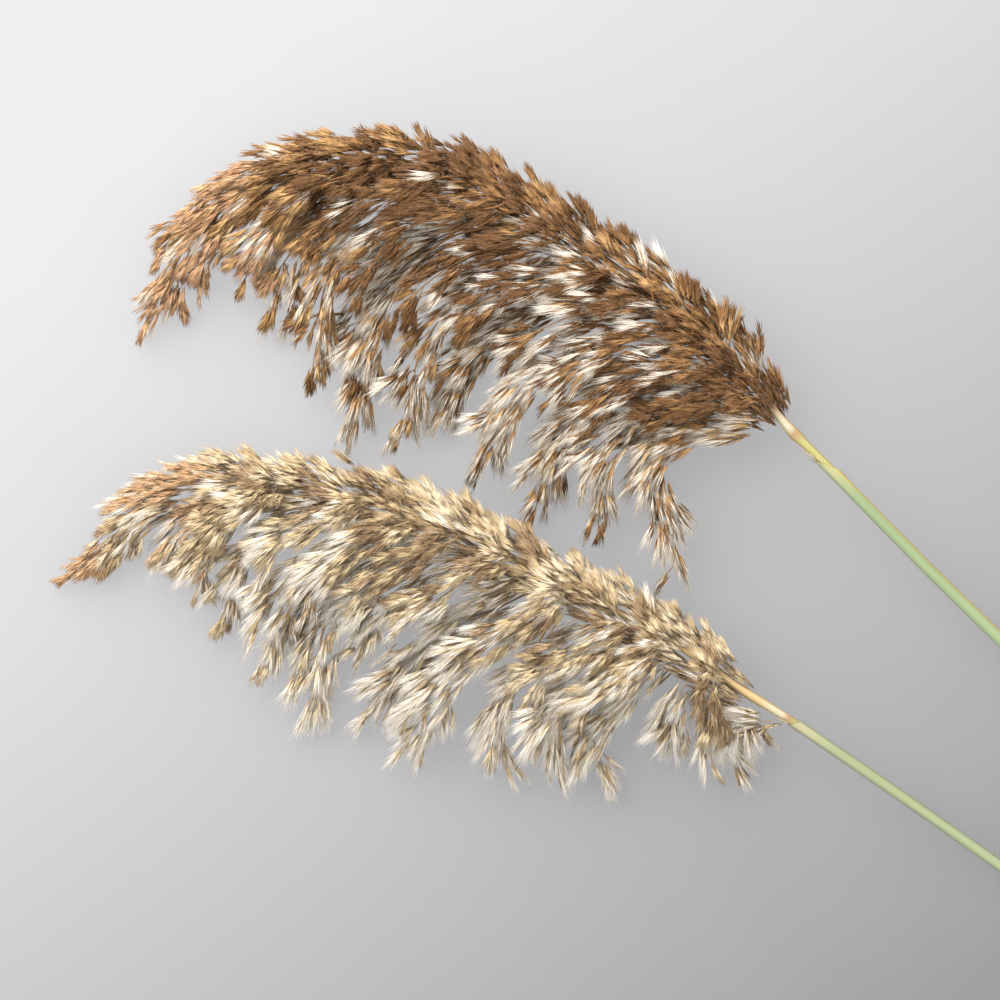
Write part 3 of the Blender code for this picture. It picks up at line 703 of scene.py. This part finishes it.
def branch(node, growth, share, count, kinds, mix, silky, finish, rng):
    """The visible piece for one branch."""
    reed, kind = node.split("_")[:2]
    parts = [twigs(growth, node)]
    tufts = tuft_places(growth, count // TUFT_SIZE, rng)
    roots, *_, outward, near_end = tufts
    silkier = patchy(roots, SILK_PATCHES) + rng.normal(0, PATCH_NOISE, len(roots))
    silkier += SILK_OUTWARD * outward - POINT_SILK * near_end
    has_silk = rank(-silkier) < silky
    has_silk |= rng.random(len(roots)) < SILK_PULL * nearness(roots, SILK_PLACES[reed])
    has_silk = np.repeat(has_silk, TUFT_SIZE)
    places = in_tufts(tufts, rng)
    # husks near the listed places take darker tones as painted shade
    shift = TONE_BY_KIND[reed][kind] - PAINTED_SHADE_PULL * nearness(roots, PAINTED_SHADE_PLACES[reed])
    tones = tones_at(mix, share, places[0], TONE_OUTWARD[kind] * np.repeat(outward, TUFT_SIZE),
                     np.repeat(near_end, TUFT_SIZE), np.repeat(shift, TUFT_SIZE), rng)
    tones += rng.uniform(-TONE_SPREAD, TONE_SPREAD, len(tones))
    for shape, chosen in zip(kinds, (~has_silk, has_silk)):
        parts.append(copies(shape, [values[chosen] for values in places], tones[chosen], rng))
    obj = mesh_from(node + "_spikelets", parts)
    obj.data.materials.append(finish)
    return obj


# Shader maths

class Socket:
    """A socket in a node tree, or only the tree to start from, with what the materials use."""

    def __init__(self, tree, link):
        self.tree = tree
        self.link = link

    def node(self, kind, settings=None, output=0, **inputs):
        """An output of a new node. Its inputs go by name, or by _ and their place, and a tuple
        is a colour."""
        made = self.tree.nodes.new(kind)
        for key, value in (settings or {}).items():
            setattr(made, key, value)
        for key, value in inputs.items():
            target = made.inputs[int(key[1:])] if key[1:].isdigit() else made.inputs[key]
            if isinstance(value, Socket):
                self.tree.links.new(value.link, target)
            else:
                target.default_value = (*value, 1) if isinstance(value, tuple) else value
        return Socket(self.tree, made.outputs[output])

    def into(self, node, name):
        """Joins this to an input of a node."""
        self.tree.links.new(self.link, node.inputs[name])

    def parts(self):
        """The first and the second part of this vector."""
        made = self.tree.nodes.new("ShaderNodeSeparateXYZ")
        self.tree.links.new(self.link, made.inputs[0])
        return Socket(self.tree, made.outputs[0]), Socket(self.tree, made.outputs[1])

    def ramp(self, stops):
        """The colours of these stops, by this."""
        made = self.tree.nodes.new("ShaderNodeValToRGB")
        elements = made.color_ramp.elements
        elements[0].position, elements[1].position = stops[0][0], stops[-1][0]
        elements[0].color, elements[1].color = (*stops[0][1], 1), (*stops[-1][1], 1)
        for place, colour in stops[1:-1]:
            elements.new(place).color = (*colour, 1)
        self.tree.links.new(self.link, made.inputs[0])
        return Socket(self.tree, made.outputs[0])

    def noise(self, scale, detail):
        """Noise over this place."""
        return self.node("ShaderNodeTexNoise", Vector=self, Scale=scale, Detail=detail)

    def math(self, operation, a, b=0.0):
        """The result of a maths node."""
        return self.node("ShaderNodeMath", {"operation": operation}, _0=a, _1=b)

    def __add__(self, other):
        return self.math("ADD", self, other)

    __radd__ = __add__

    def __sub__(self, other):
        return self.math("SUBTRACT", self, other)

    def __rsub__(self, other):
        return self.math("SUBTRACT", other, self)

    def __mul__(self, other):
        return self.math("MULTIPLY", self, other)

    __rmul__ = __mul__

    def over(self, low, high):
        """0 up to low, 1 from high on, and an even rise between."""
        limits = {"From Min": low, "From Max": high}
        return self.node("ShaderNodeMapRange", {"clamp": True}, Value=self, **limits)

    def blend(self, a, b, kind="MIX"):
        """Colour a where this is 0 and colour b where it is 1."""
        settings = {"data_type": "RGBA", "blend_type": kind}
        return self.node("ShaderNodeMix", settings, 2, _0=self, _6=a, _7=b)


def new_material(name):
    """A material with a Principled shader: the material, its shader and a socket to start from."""
    material = bpy.data.materials.new(name)
    material.use_nodes = True
    shader = material.node_tree.nodes["Principled BSDF"]
    return material, shader, Socket(material.node_tree, None)


def let_light_through(material, shader, start, lightness, darkest, lightest):
    """Mixes in light from behind, between two plain translucent shaders by the lightness."""
    tree = material.node_tree
    dark = start.node("ShaderNodeBsdfTranslucent", Color=darkest)
    light = start.node("ShaderNodeBsdfTranslucent", Color=lightest)
    thin = start.node("ShaderNodeMixShader", _0=lightness, _1=dark, _2=light)
    plain = Socket(tree, shader.outputs[0])
    mix = start.node("ShaderNodeMixShader", _0=LIGHT_THROUGH, _1=plain, _2=thin)
    mix.into(tree.nodes["Material Output"], "Surface")


def srgb(red, green, blue):
    """A colour as it looks on screen, made linear."""
    return tuple((c / 255 / 12.92) if c < 10.3 else ((c / 255 + 0.055) / 1.055) ** 2.4
                 for c in (red, green, blue))


# colours of the stems and of the sheaths round them, which are plain green up to this share
GREEN_SHARE = 0.6
STEM_GREEN = srgb(128, 136, 98)
STEM_YELLOW = {"upper": srgb(150, 146, 88), "lower": srgb(134, 134, 86)}
STEM_MARGIN = srgb(142, 118, 80)
STEM_SHADE = srgb(126, 118, 78)
KNOT_TAN = srgb(140, 112, 78)
TORN_STRAW = srgb(190, 170, 128)
PALE_STEM = srgb(168, 160, 136)
AXIS_STRAW = {"upper": srgb(132, 102, 72), "lower": srgb(176, 150, 108)}
SHEATH_GREEN = {"upper": srgb(118, 134, 97), "lower": srgb(122, 134, 101)}
SHEATH_MIDDLE = {"upper": srgb(112, 130, 92), "lower": srgb(122, 132, 98)}
SHEATH_MOUTH = {"upper": srgb(141, 141, 100), "lower": srgb(143, 139, 111)}
SHEATH_EDGE = {"upper": srgb(148, 124, 78), "lower": srgb(112, 116, 92)}
SHEATH_SHADE = {"upper": srgb(112, 124, 104), "lower": srgb(98, 104, 92)}
UPPER_TONES = (
    (DARK, srgb(125, 89, 51)), (BROWN, srgb(174, 130, 80)), (GOLD, srgb(211, 169, 110)),
    (STRAW, srgb(234, 206, 157)), (RUSSET, srgb(216, 168, 125)), (PALE_RUSSET, srgb(235, 200, 161)),
    (DULL_SILK, srgb(252, 245, 232)), (SILK, srgb(255, 250, 241)),
)
LOWER_TONES = (
    (DARK, srgb(164, 139, 107)), (BROWN, srgb(200, 175, 136)), (GOLD, srgb(223, 203, 160)),
    (STRAW, srgb(241, 229, 201)), (RUSSET, srgb(214, 170, 125)), (PALE_RUSSET, srgb(234, 202, 163)),
    (DULL_SILK, srgb(253, 248, 238)), (SILK, srgb(255, 252, 246)),
)

# fine veins on the husks: their scale, the noise that they come from, strength and shade
VEIN_SCALE = 650.0
VEIN_DETAIL = 2.0
VEIN_NOISE = (0.35, 0.65)
VEIN_STRENGTH = 0.22
VEIN_SHADE = srgb(196, 184, 164)
# the darker root of a hair or husk, partly its own brown and partly painted shade deep in the tuft:
# how far up it goes, its strength and colour
SILK_ROOT_END = 0.35
SILK_ROOT_STRENGTH = 0.8
SILK_ROOT_TINT_AND_SHADE = srgb(190, 162, 130)
HUSK_ROOT_END = 0.45
HUSK_ROOT_STRENGTH = 0.4
HUSK_ROOT_BROWN_AND_SHADE = srgb(150, 116, 86)
# the red at the tip of a husk: from where on, its strength and colour
HUSK_TIP_START = 0.74
HUSK_TIP_STRENGTH = 0.45
HUSK_TIP = srgb(176, 112, 70)
HUSK_ROUGHNESS = 0.62
SILK_SMOOTHER = 0.2
# the share of light that passes through a husk or hair, and how much less at roots and tips
LIGHT_THROUGH = 0.48
LESS_AT_HUSK_ROOT = 0.6
LESS_AT_SILK_ROOT = 0.55
LESS_AT_TIP = 0.5


def greys_of(tones):
    """How light each tone is, from the darkest to the lightest, as greys at the same stops."""
    sums = [sum(colour) for _, colour in tones]
    low, high = min(sums), max(sums)
    return tuple((place, ((total - low) / (high - low),) * 3)
                 for (place, _), total in zip(tones, sums))


def plume_material(name, tones):
    """Husks and silk: the colour from each one's tone, darker at the root with their own brown and
    painted shade, redder at the tip.
    """
    material, shader, start = new_material(name)
    tone, along = start.node("ShaderNodeUVMap", {"uv_map": "tone_and_length"}).parts()
    colour = tone.ramp(tones)
    greys = tone.ramp(greys_of(tones))
    silk_part = tone.over(SILK_START, DULL_SILK)
    husk_part = 1 - silk_part
    place = start.node("ShaderNodeTexCoord", output="Object")
    veins = place.noise(VEIN_SCALE, VEIN_DETAIL)
    vein = veins.over(*VEIN_NOISE) * husk_part * VEIN_STRENGTH
    colour = vein.blend(colour, VEIN_SHADE, "MULTIPLY")
    # darker silk roots: a brown undertone and painted shade
    silk_root_and_shade = (1 - along.over(0.0, SILK_ROOT_END)) * silk_part * SILK_ROOT_STRENGTH
    colour = silk_root_and_shade.blend(colour, SILK_ROOT_TINT_AND_SHADE)
    # darker husk roots: brown glumes and painted shade
    root = (1 - along.over(0.0, HUSK_ROOT_END)) * husk_part * HUSK_ROOT_STRENGTH
    colour = root.blend(colour, HUSK_ROOT_BROWN_AND_SHADE, "MULTIPLY")
    tip = along.over(HUSK_TIP_START, 1.0) * husk_part * HUSK_TIP_STRENGTH
    colour = tip.blend(colour, HUSK_TIP)
    colour.into(shader, "Base Color")
    roughness = HUSK_ROUGHNESS - SILK_SMOOTHER * silk_part
    roughness.into(shader, "Roughness")
    lightness = greys * (1 - LESS_AT_HUSK_ROOT * root)
    lightness = lightness * (1 - LESS_AT_SILK_ROOT * silk_root_and_shade) * (1 - LESS_AT_TIP * tip)
    let_light_through(material, shader, start, lightness, tones[0][1], tones[-1][1])
    return material


# The whole bunch

# how finely the stems' tubes are rounded, and the length of their steps
TUBE_ROUNDNESS = 8
TUBE_STEP = 3 * MM
SMOOTH_ANGLE = math.radians(40)
# the knot swells by so much over this length, at this place of the plan
KNOT_HEIGHT = 0.2 * MM
KNOT_LENGTH = 2.2 * MM
KNOT_PLACE = {"upper": (0.0567, 0.072), "lower": (0.054, -0.0554)}
# the cut end is hollow to this depth, with a wall of this share of its radius
HOLLOW_DEPTH = 12 * MM
WALL_SHARE = 0.35
# the sheath's mouth slants by so much, and the slant fades over so many times that
MOUTH_SLANT = {"upper": 13 * MM, "lower": 5 * MM}
SLANT_FADING = 3
# dry fibres at the mouth: how many, from where to where round it, and how often upwards
FIBRES = {"upper": 9, "lower": 4}
FIBRE_ANGLES = (0.55, 1.25)
FIBRES_UPWARD = 0.7
# how they part from the stem, where they root, and how they differ from a husk in scale
FIBRE_PARTING = (0.05, 0.32)
FIBRE_DEPTH = 0.95
FIBRE_ROOTS = 9 * MM
FIBRE_SHAPE = (0.55, 0.35, 1.0)
FIBRE_SCALES = (0.45, 0.95)


def nearest_run(tree, growth, point):
    """The run of the stem's station nearest a point."""
    return growth.run[tree.find(Vector(point))[1]]


def point_cloud(points):
    """The points, ready to be searched for the nearest."""
    tree = KDTree(len(points))
    for index, point in enumerate(points):
        tree.insert(Vector(point), index)
    tree.balance()
    return tree


def cut_end(node):
    """The lower right corner of a node's box, near its cut end."""
    low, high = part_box(node)
    return (high.x, low.y, low.z)


def grow_plume(reed, stem, mix, tones, seed):
    """All the visible branches of a reed's plume, one piece for each branch of the solids."""
    rng = np.random.default_rng(seed)
    on_stem = point_cloud(stem.centre)
    finish = plume_material(reed + "_plume_husks", tones)
    kinds = spikelet_shapes()
    branches = sorted(node for node in nodes if node.startswith(reed) and "_branch" in node)
    grown = {}
    for node in branches:
        points = np.array([vertex.co for vertex in nodes[node].data.vertices])
        distances = [on_stem.find(Vector(point))[2] for point in points]
        root = points[int(np.argmin(distances))]
        grown[node] = (growth_of(node, root), nearest_run(on_stem, stem, root))
    runs = [run for _, run in grown.values()]
    low, high = min(runs), max(runs)
    tops = sorted(run for node, (_, run) in grown.items() if "_top_" in node)
    for node, (growth, run) in list(grown.items()):
        kind = node.split("_")[1]
        near_base = max(0.0, 1 - (run - low) / (high - low) / BASE_SHARE)
        growth = fuller(growth, LEAST_SPREAD[kind] * (1 + BASE_FULLNESS[reed] * near_base))
        if kind == "top":
            place = tops.index(run)
            first = tops[place] if place else low - BASE_REACH[reed]
            last = tops[place + 1] if place + 1 < len(tops) else high
            axis = stretch_of(stem, first - STATION, last + STATION, AXIS_SPREAD)
            growth = joined([growth, axis])
        if kind == "tip":
            growth = joined([growth, bridge(stem, growth, BRIDGE_SPREAD)])
        grown[node] = (growth, run)
    weight = {node: float((growth.wide + growth.tall).sum()) for node, (growth, _) in grown.items()}
    weight[reed + "_tip_branch"] *= TIP_FULLNESS
    total = sum(weight.values())
    for node, (growth, run) in grown.items():
        share = (run - low) / (high - low)
        count = int(SPIKELETS[reed] * weight[node] / total)
        silky = SILK_BY_KIND[node.split("_")[1]]
        silky *= float(np.interp(share, SILKY_SHARES, SILKY[reed]))
        piece = branch(node, growth, share, count, kinds, mix, silky, finish, rng)
        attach(piece, "root")
        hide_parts(node)


def evenly(growth, line, last_run):
    """Points and runs at even steps along a line of stations, up to a run."""
    runs = np.arange(growth.run[line[0]], last_run, TUBE_STEP)
    stations = growth.run[line]
    return np.column_stack([np.interp(runs, stations, growth.centre[line, axis])
                            for axis in range(3)]), runs


def tube(name, points, radii):
    """A round closed tube through the points, with its radius at each."""
    curve = bpy.data.curves.new(name, "CURVE")
    curve.dimensions = "3D"
    curve.fill_mode = "FULL"
    curve.bevel_depth = 1.0
    curve.bevel_resolution = TUBE_ROUNDNESS
    add_line(curve, points, radii)
    obj = as_mesh(curve)
    bpy.ops.object.mode_set(mode="EDIT")
    bpy.ops.mesh.select_all(action="SELECT")
    bpy.ops.mesh.fill_holes(sides=0)
    face_outwards()
    for vertex in obj.data.vertices:
        vertex.co.z = max(0.0, vertex.co.z)
    return obj


def hollow_out(obj, growth, depth, wall):
    """Sinks a hole into the tube's end at its cut."""
    cut = Vector(growth.centre[0])
    only(obj)
    bpy.ops.object.mode_set(mode="EDIT")
    bpy.ops.mesh.select_all(action="DESELECT")
    bpy.ops.object.mode_set(mode="OBJECT")
    caps = [face for face in obj.data.polygons if len(face.vertices) > 4]
    cap = min(caps, key=lambda face: (face.center - cut).length)
    cap.select = True
    inward = Vector(growth.way[1]) * depth
    bpy.ops.object.mode_set(mode="EDIT")
    bpy.ops.mesh.inset(thickness=wall)
    bpy.ops.mesh.extrude_region_move(TRANSFORM_OT_translate={"value": inward})
    face_outwards()


def lay_out(obj, growth):
    """Adds the UV maps: u from one side of the stem to the other, v from the cut to the tip."""
    mesh = obj.data
    points = np.array([vertex.co for vertex in mesh.vertices])
    tree = point_cloud(growth.centre)
    station = np.array([tree.find(Vector(point))[1] for point in points])
    offset = points - growth.centre[station]
    across = (offset * growth.side[station]).sum(axis=1)
    radius = np.linalg.norm(offset - growth.way[station]
                            * (offset * growth.way[station]).sum(axis=1)[:, None], axis=1)
    u = 0.5 + 0.5 * across / np.maximum(radius, LEAST_RADIUS)
    run = growth.run[station] + (offset * growth.way[station]).sum(axis=1)
    v = run / growth.run.max()
    for layer in list(mesh.uv_layers):
        mesh.uv_layers.remove(layer)
    set_uv(mesh, "across_and_along", u, v)


# streaks along the straw: how many across and along, their noise, strength and shade
STREAKS = (14, 9)
STREAK_DETAIL = 4.0
STREAK_NOISE = (0.35, 0.7)
STREAK_STRENGTH = 0.3
STREAK_SHADE = (0.60, 0.56, 0.40)
STREAK_DEPTH = 0.1 * MM
STREAK_RELIEF = 0.25
# tan blotches in the same form
BLOTCHES = (3, 12)
BLOTCH_DETAIL = 2.0
BLOTCH_NOISE = (0.5, 0.75)
BLOTCH_STRENGTH = 0.2
BLOTCH_TAN = srgb(176, 168, 122)
# the golden wedge: how slowly it narrows, where its edge is across, and its strength
WEDGE_SLOPE = 9.0
WEDGE_EDGE = (0.42, 0.52)
WEDGE_STRENGTH = 0.85
# the greyer lower edge and the thin line on the upper one, across the stem
SHADED_EDGE = (0.04, 0.34)
SHADED_STRENGTH = 0.6
LINED_EDGE = (0.78, 0.90)
LINED_STRENGTH = 0.85
STRAW_ROUGHNESS = 0.45
STREAK_ROUGHNESS = 0.2


def stem_material(name, stops, edge_colour, shade_colour, golden_to):
    """Green or yellow straw: colour by place along the stem, fine streaks, a thin line on its
    upper edge, a greyer lower edge and, up to a sheath's mouth, a golden wedge."""
    material, shader, start = new_material(name)
    across, along = start.node("ShaderNodeUVMap", {"uv_map": "across_and_along"}).parts()
    colour = along.ramp(stops)
    place = start.node("ShaderNodeCombineXYZ", X=across * STREAKS[0], Y=along * STREAKS[1])
    streak = place.noise(1.0, STREAK_DETAIL)
    darker = streak.over(*STREAK_NOISE) * STREAK_STRENGTH
    colour = darker.blend(colour, STREAK_SHADE, "MULTIPLY")
    place = start.node("ShaderNodeCombineXYZ", X=across * BLOTCHES[0], Y=along * BLOTCHES[1])
    blotch = place.noise(1.0, BLOTCH_DETAIL).over(*BLOTCH_NOISE) * BLOTCH_STRENGTH
    colour = blotch.blend(colour, BLOTCH_TAN)
    if golden_to is not None:
        wedge = (across - (golden_to - along) * WEDGE_SLOPE).over(*WEDGE_EDGE) * WEDGE_STRENGTH
        colour = wedge.blend(colour, STEM_YELLOW["upper"])
    shaded = (1 - across.over(*SHADED_EDGE)) * SHADED_STRENGTH
    colour = shaded.blend(colour, shade_colour)
    lined = across.over(*LINED_EDGE) * LINED_STRENGTH
    colour = lined.blend(colour, edge_colour)
    colour.into(shader, "Base Color")
    roughness = STRAW_ROUGHNESS + streak * STREAK_ROUGHNESS
    roughness.into(shader, "Roughness")
    bump = start.node("ShaderNodeBump", Height=streak, Strength=STREAK_RELIEF,
                      Distance=STREAK_DEPTH)
    bump.into(shader, "Normal")
    return material


def share_at(growth, x, y):
    """How far along the stem a place of the plan is, from the cut to the tip."""
    near = np.hypot(growth.centre[:, 0] - x, growth.centre[:, 1] - y).argmin()
    return growth.run[near] / growth.run.max()


def slant_mouth(obj, growth, mouth, slant):
    """Draws the tube's far end back on the side that the stem's upper edge is on."""
    tree = point_cloud(growth.centre)
    for vertex in obj.data.vertices:
        station = tree.find(vertex.co)[1]
        offset = np.array(vertex.co) - growth.centre[station]
        way, side = growth.way[station], growth.side[station]
        run = growth.run[station] + offset @ way
        near = max(0.0, 1 - (mouth - run) / (SLANT_FADING * slant))
        across = 0.5 + 0.5 * (offset @ side) / np.linalg.norm(offset - way * (offset @ way))
        vertex.co -= Vector(way * slant * near * across)


def mouth_fibres(reed, growth, mouth, radius, rng):
    """Ragged dry fibres where the sheath has torn, as one object of thin husks."""
    pieces = []
    station = np.abs(growth.run - mouth).argmin()
    way, side, up = growth.way[station], growth.side[station], growth.up[station]
    strand = shape_of(husk(), False, HUSK_LENGTH)
    for _ in range(FIBRES[reed]):
        angle = rng.uniform(*FIBRE_ANGLES) * math.pi
        upward = 1 if rng.random() < FIBRES_UPWARD else -1
        out = math.cos(angle) * side + math.sin(angle) * up * upward
        heading = unit(way + out * rng.uniform(*FIBRE_PARTING))
        across = unit(np.cross(out, heading))
        start = growth.centre[station] + out * radius * FIBRE_DEPTH
        start = start - way * rng.uniform(0, FIBRE_ROOTS)
        local = strand.points * np.array(FIBRE_SHAPE) * rng.uniform(*FIBRE_SCALES)
        points = (start + local[:, :1] * across + local[:, 1:2] * np.cross(heading, across)
                  + local[:, 2:] * heading)
        pieces.append(Shape(points, strand.triangles, strand.along, strand.silk))
    ragged = merged(pieces)
    mesh = bpy.data.meshes.new(reed + "_mouth_fibres")
    mesh.from_pydata(ragged.points.tolist(), [], ragged.triangles.tolist())
    obj = placed(mesh.name, mesh)
    stops = ((0.0, TORN_STRAW), (1.0, TORN_STRAW))
    obj.data.materials.append(
        stem_material(reed + "_torn_fibres", stops, TORN_STRAW, STEM_MARGIN, None))
    return obj


def grow_straw(reed, growth):
    """The visible stem, bare below the plume and running on in it."""
    line = chains(growth)[0]
    full_run = growth.run.max()
    points, runs = evenly(growth, line, full_run)
    thick = np.maximum(growth.wide, growth.tall)[line]
    radius = np.interp(runs, growth.run[line], thick)
    knot = share_at(growth, *KNOT_PLACE[reed])
    radius += KNOT_HEIGHT * np.exp(-((runs - knot * full_run) / KNOT_LENGTH) ** 2)
    straw = tube(reed + "_stem_straw", points, radius)
    hollow_out(straw, growth, HOLLOW_DEPTH, WALL_SHARE * radius[0])
    lay_out(straw, growth)
    only(straw)
    bpy.ops.object.shade_smooth_by_angle(angle=SMOOTH_ANGLE)
    # colours at so many millimetres past the knot
    past_knot = ((-40, STEM_YELLOW[reed]), (-3, STEM_YELLOW[reed]), (-1, KNOT_TAN), (1, KNOT_TAN),
                 (3, PALE_STEM), (9, PALE_STEM), (16, AXIS_STRAW[reed]))
    stops = [(knot + place * MM / full_run, colour) for place, colour in past_knot]
    stops = ((0.0, STEM_GREEN), *stops, (1.0, AXIS_STRAW[reed]))
    straw.data.materials.append(
        stem_material(reed + "_stem_straw", stops, STEM_MARGIN, STEM_SHADE, None))
    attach(straw, "root")
    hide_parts(reed + "_stem")


def sheath_size(reed, growth):
    """How far up the sheath goes, its radius at the cut and how that changes along the stem."""
    shell = np.array([vertex.co for vertex in nodes[reed + "_leaf_sheath"].data.vertices])
    tree = point_cloud(growth.centre)
    near = np.array([tree.find(Vector(point))[1] for point in shell])
    offset = shell - growth.centre[near]
    offset -= growth.way[near] * (offset * growth.way[near]).sum(axis=1)[:, None]
    reach = np.linalg.norm(offset, axis=1)
    outer = reach > np.median(reach)
    slope, base = np.polyfit(growth.run[near][outer], reach[outer], 1)
    return growth.run[near].max(), base, slope


def grow_sheath(reed, growth):
    """The visible leaf sheath round the lower part of the stem, with its torn mouth."""
    rng = np.random.default_rng(FIBRE_SEED)
    mouth, base, slope = sheath_size(reed, growth)
    points, runs = evenly(growth, chains(growth)[0], mouth)
    sheath = tube(reed + "_sheath_green", points, base + slope * runs)
    slant_mouth(sheath, growth, mouth, MOUTH_SLANT[reed])
    full_run = growth.run.max()
    share = mouth / full_run
    # colours at so many millimetres past the mouth
    past_mouth = ((-60, SHEATH_MIDDLE[reed]), (-25, SHEATH_MIDDLE[reed]), (-8, SHEATH_MOUTH[reed]),
                  (0, SHEATH_MOUTH[reed]))
    stops = [(share + place * MM / full_run, colour) for place, colour in past_mouth]
    stops = ((0.0, SHEATH_GREEN[reed]), (GREEN_SHARE * share, SHEATH_GREEN[reed]), *stops)
    golden_to = share if reed == "upper" else None
    sheath.data.materials.append(stem_material(
        reed + "_sheath_green", stops, SHEATH_EDGE[reed], SHEATH_SHADE[reed], golden_to))
    fibres = mouth_fibres(reed, growth, mouth, base + slope * mouth, rng)
    only(sheath)
    fibres.select_set(True)
    bpy.ops.object.join()
    lay_out(sheath, growth)
    only(sheath)
    bpy.ops.object.shade_smooth_by_angle(angle=SMOOTH_ANGLE)
    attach(sheath, "root")
    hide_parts(reed + "_leaf_sheath")


# the surface glows with painted light, which keeps the shadows on it weak: this painted glow
# grows by so much for each metre upwards and leftwards in the plan, between these two colours
PAINTED_GLOW_UPWARD = 0.50
PAINTED_GLOW_LEFTWARD = 0.35
PAINTED_GLOW_RANGE = (-0.150, 0.190)
PAINTED_GLOW_LEAST = (0.165, 0.165, 0.169)
PAINTED_GLOW_MOST = (0.505, 0.503, 0.512)
# its colour darkens rightwards and downwards and again under the lamp, all painted shade, over
# these ranges
PAINTED_SHADE_RIGHTWARD = 0.42
PAINTED_SHADE_DOWNWARD = 0.6
PAINTED_SHADE_RANGE = (-0.11, 0.22)
SURFACE_PAINTED_LIGHT = (0.095, 0.097, 0.102)
SURFACE_PAINTED_SHADE = (0.046, 0.047, 0.050)
PAINTED_LAMP_SHADE_RANGE = (0.42, 1.3)
SURFACE_PAINTED_LAMP_SHADE = (0.02, 0.0204, 0.0216)
SURFACE_ROUGHNESS = 0.9
# a faint grain in its colour and glow
GRAIN_SCALE = 26.0
GRAIN_DETAIL = 5.0
GRAIN_NOISE = (0.3, 0.7)
GRAIN_STRENGTH = 0.05
GRAIN_COLOUR = (0.1, 0.1, 0.1)
GRAIN_GLOW = (0.3, 0.3, 0.3)

# the surface's extent, the lamp at the upper left and the even light of the room
SURFACE_SIZE = 6
SURFACE_HEIGHT = -0.2 * MM
LAMP_PLACE = (-0.72, 0.74, 0.82)
LAMP_SIZE = 1.9
LAMP_WATTS = 51
LAMP_COLOUR = (1.0, 0.965, 0.91)
ROOM_COLOUR = (1.0, 0.975, 0.945)
ROOM_STRENGTH = 1.72
# the photo's middle on the surface, and the camera above it
PHOTO_MIDDLE = (-0.0738, 0.0414, 0.0)
CAMERA_HEIGHT = 1.52
CAMERA_LENS = 120
CAMERA_WIDTH = 36


def surface_material():
    """A pale surface with painted shade towards the lower right and under the lamp, a glow of
    painted light, faintly grained.
    """
    material, shader, start = new_material("pale_surface")
    place = start.node("ShaderNodeTexCoord", output="Object")
    x, y = place.parts()
    # painted shade: the colour darkens rightwards and downwards as the lamp's light falls off
    painted_shade = (x * PAINTED_SHADE_RIGHTWARD - y * PAINTED_SHADE_DOWNWARD).over(*PAINTED_SHADE_RANGE)
    colour = painted_shade.blend(SURFACE_PAINTED_LIGHT, SURFACE_PAINTED_SHADE)
    # painted shade: the colour darkens under the lamp, against its strongest light
    colour = (y - x).over(*PAINTED_LAMP_SHADE_RANGE).blend(colour, SURFACE_PAINTED_LAMP_SHADE)
    faint = place.noise(GRAIN_SCALE, GRAIN_DETAIL).over(*GRAIN_NOISE) * GRAIN_STRENGTH
    colour = faint.blend(colour, GRAIN_COLOUR)
    colour.into(shader, "Base Color")
    # painted light: the surface glows, brighter upwards and leftwards, which weakens its shadows
    painted_glow = (y * PAINTED_GLOW_UPWARD - x * PAINTED_GLOW_LEFTWARD).over(*PAINTED_GLOW_RANGE).blend(PAINTED_GLOW_LEAST, PAINTED_GLOW_MOST)
    painted_glow = faint.blend(painted_glow, GRAIN_GLOW)
    painted_glow.into(shader, "Emission Color")
    shader.inputs["Emission Strength"].default_value = 1.0
    shader.inputs["Roughness"].default_value = SURFACE_ROUGHNESS
    return material


def look_at(obj, target):
    """Turns a lamp towards a place."""
    direction = Vector(target) - obj.location
    obj.rotation_euler = direction.to_track_quat("-Z", "Y").to_euler()


def stage():
    """The pale surface, the light from the upper left and the camera straight above."""
    bpy.ops.object.select_all(action="DESELECT")
    bpy.ops.mesh.primitive_plane_add(size=SURFACE_SIZE, location=(0, 0, SURFACE_HEIGHT))
    floor = bpy.context.object
    floor.name = "surface"
    floor.data.materials.append(surface_material())
    lamp = placed("window_light", bpy.data.lights.new("window_light", "AREA"))
    lamp.data.shape = "DISK"
    lamp.data.size = LAMP_SIZE
    lamp.data.energy = LAMP_WATTS
    lamp.data.color = LAMP_COLOUR
    lamp.location = LAMP_PLACE
    look_at(lamp, PHOTO_MIDDLE)
    world = bpy.data.worlds.new("room")
    world.use_nodes = True
    background = world.node_tree.nodes["Background"]
    background.inputs["Color"].default_value = (*ROOM_COLOUR, 1)
    background.inputs["Strength"].default_value = ROOM_STRENGTH
    bpy.context.scene.world = world
    camera = placed("camera", bpy.data.cameras.new("camera"))
    camera.data.lens = CAMERA_LENS
    camera.data.sensor_width = CAMERA_WIDTH
    camera.location = (PHOTO_MIDDLE[0], PHOTO_MIDDLE[1], CAMERA_HEIGHT)
    bpy.context.scene.camera = camera
    bpy.context.scene.view_settings.view_transform = "Standard"


stems = {reed: growth_of(reed + "_stem", cut_end(reed + "_stem")) for reed in ("upper", "lower")}
grow_plume("upper", stems["upper"], UPPER_MIX, UPPER_TONES, PLUME_SEEDS["upper"])
grow_plume("lower", stems["lower"], LOWER_MIX, LOWER_TONES, PLUME_SEEDS["lower"])
for reed in stems:
    grow_straw(reed, stems[reed])
    grow_sheath(reed, stems[reed])
stage()
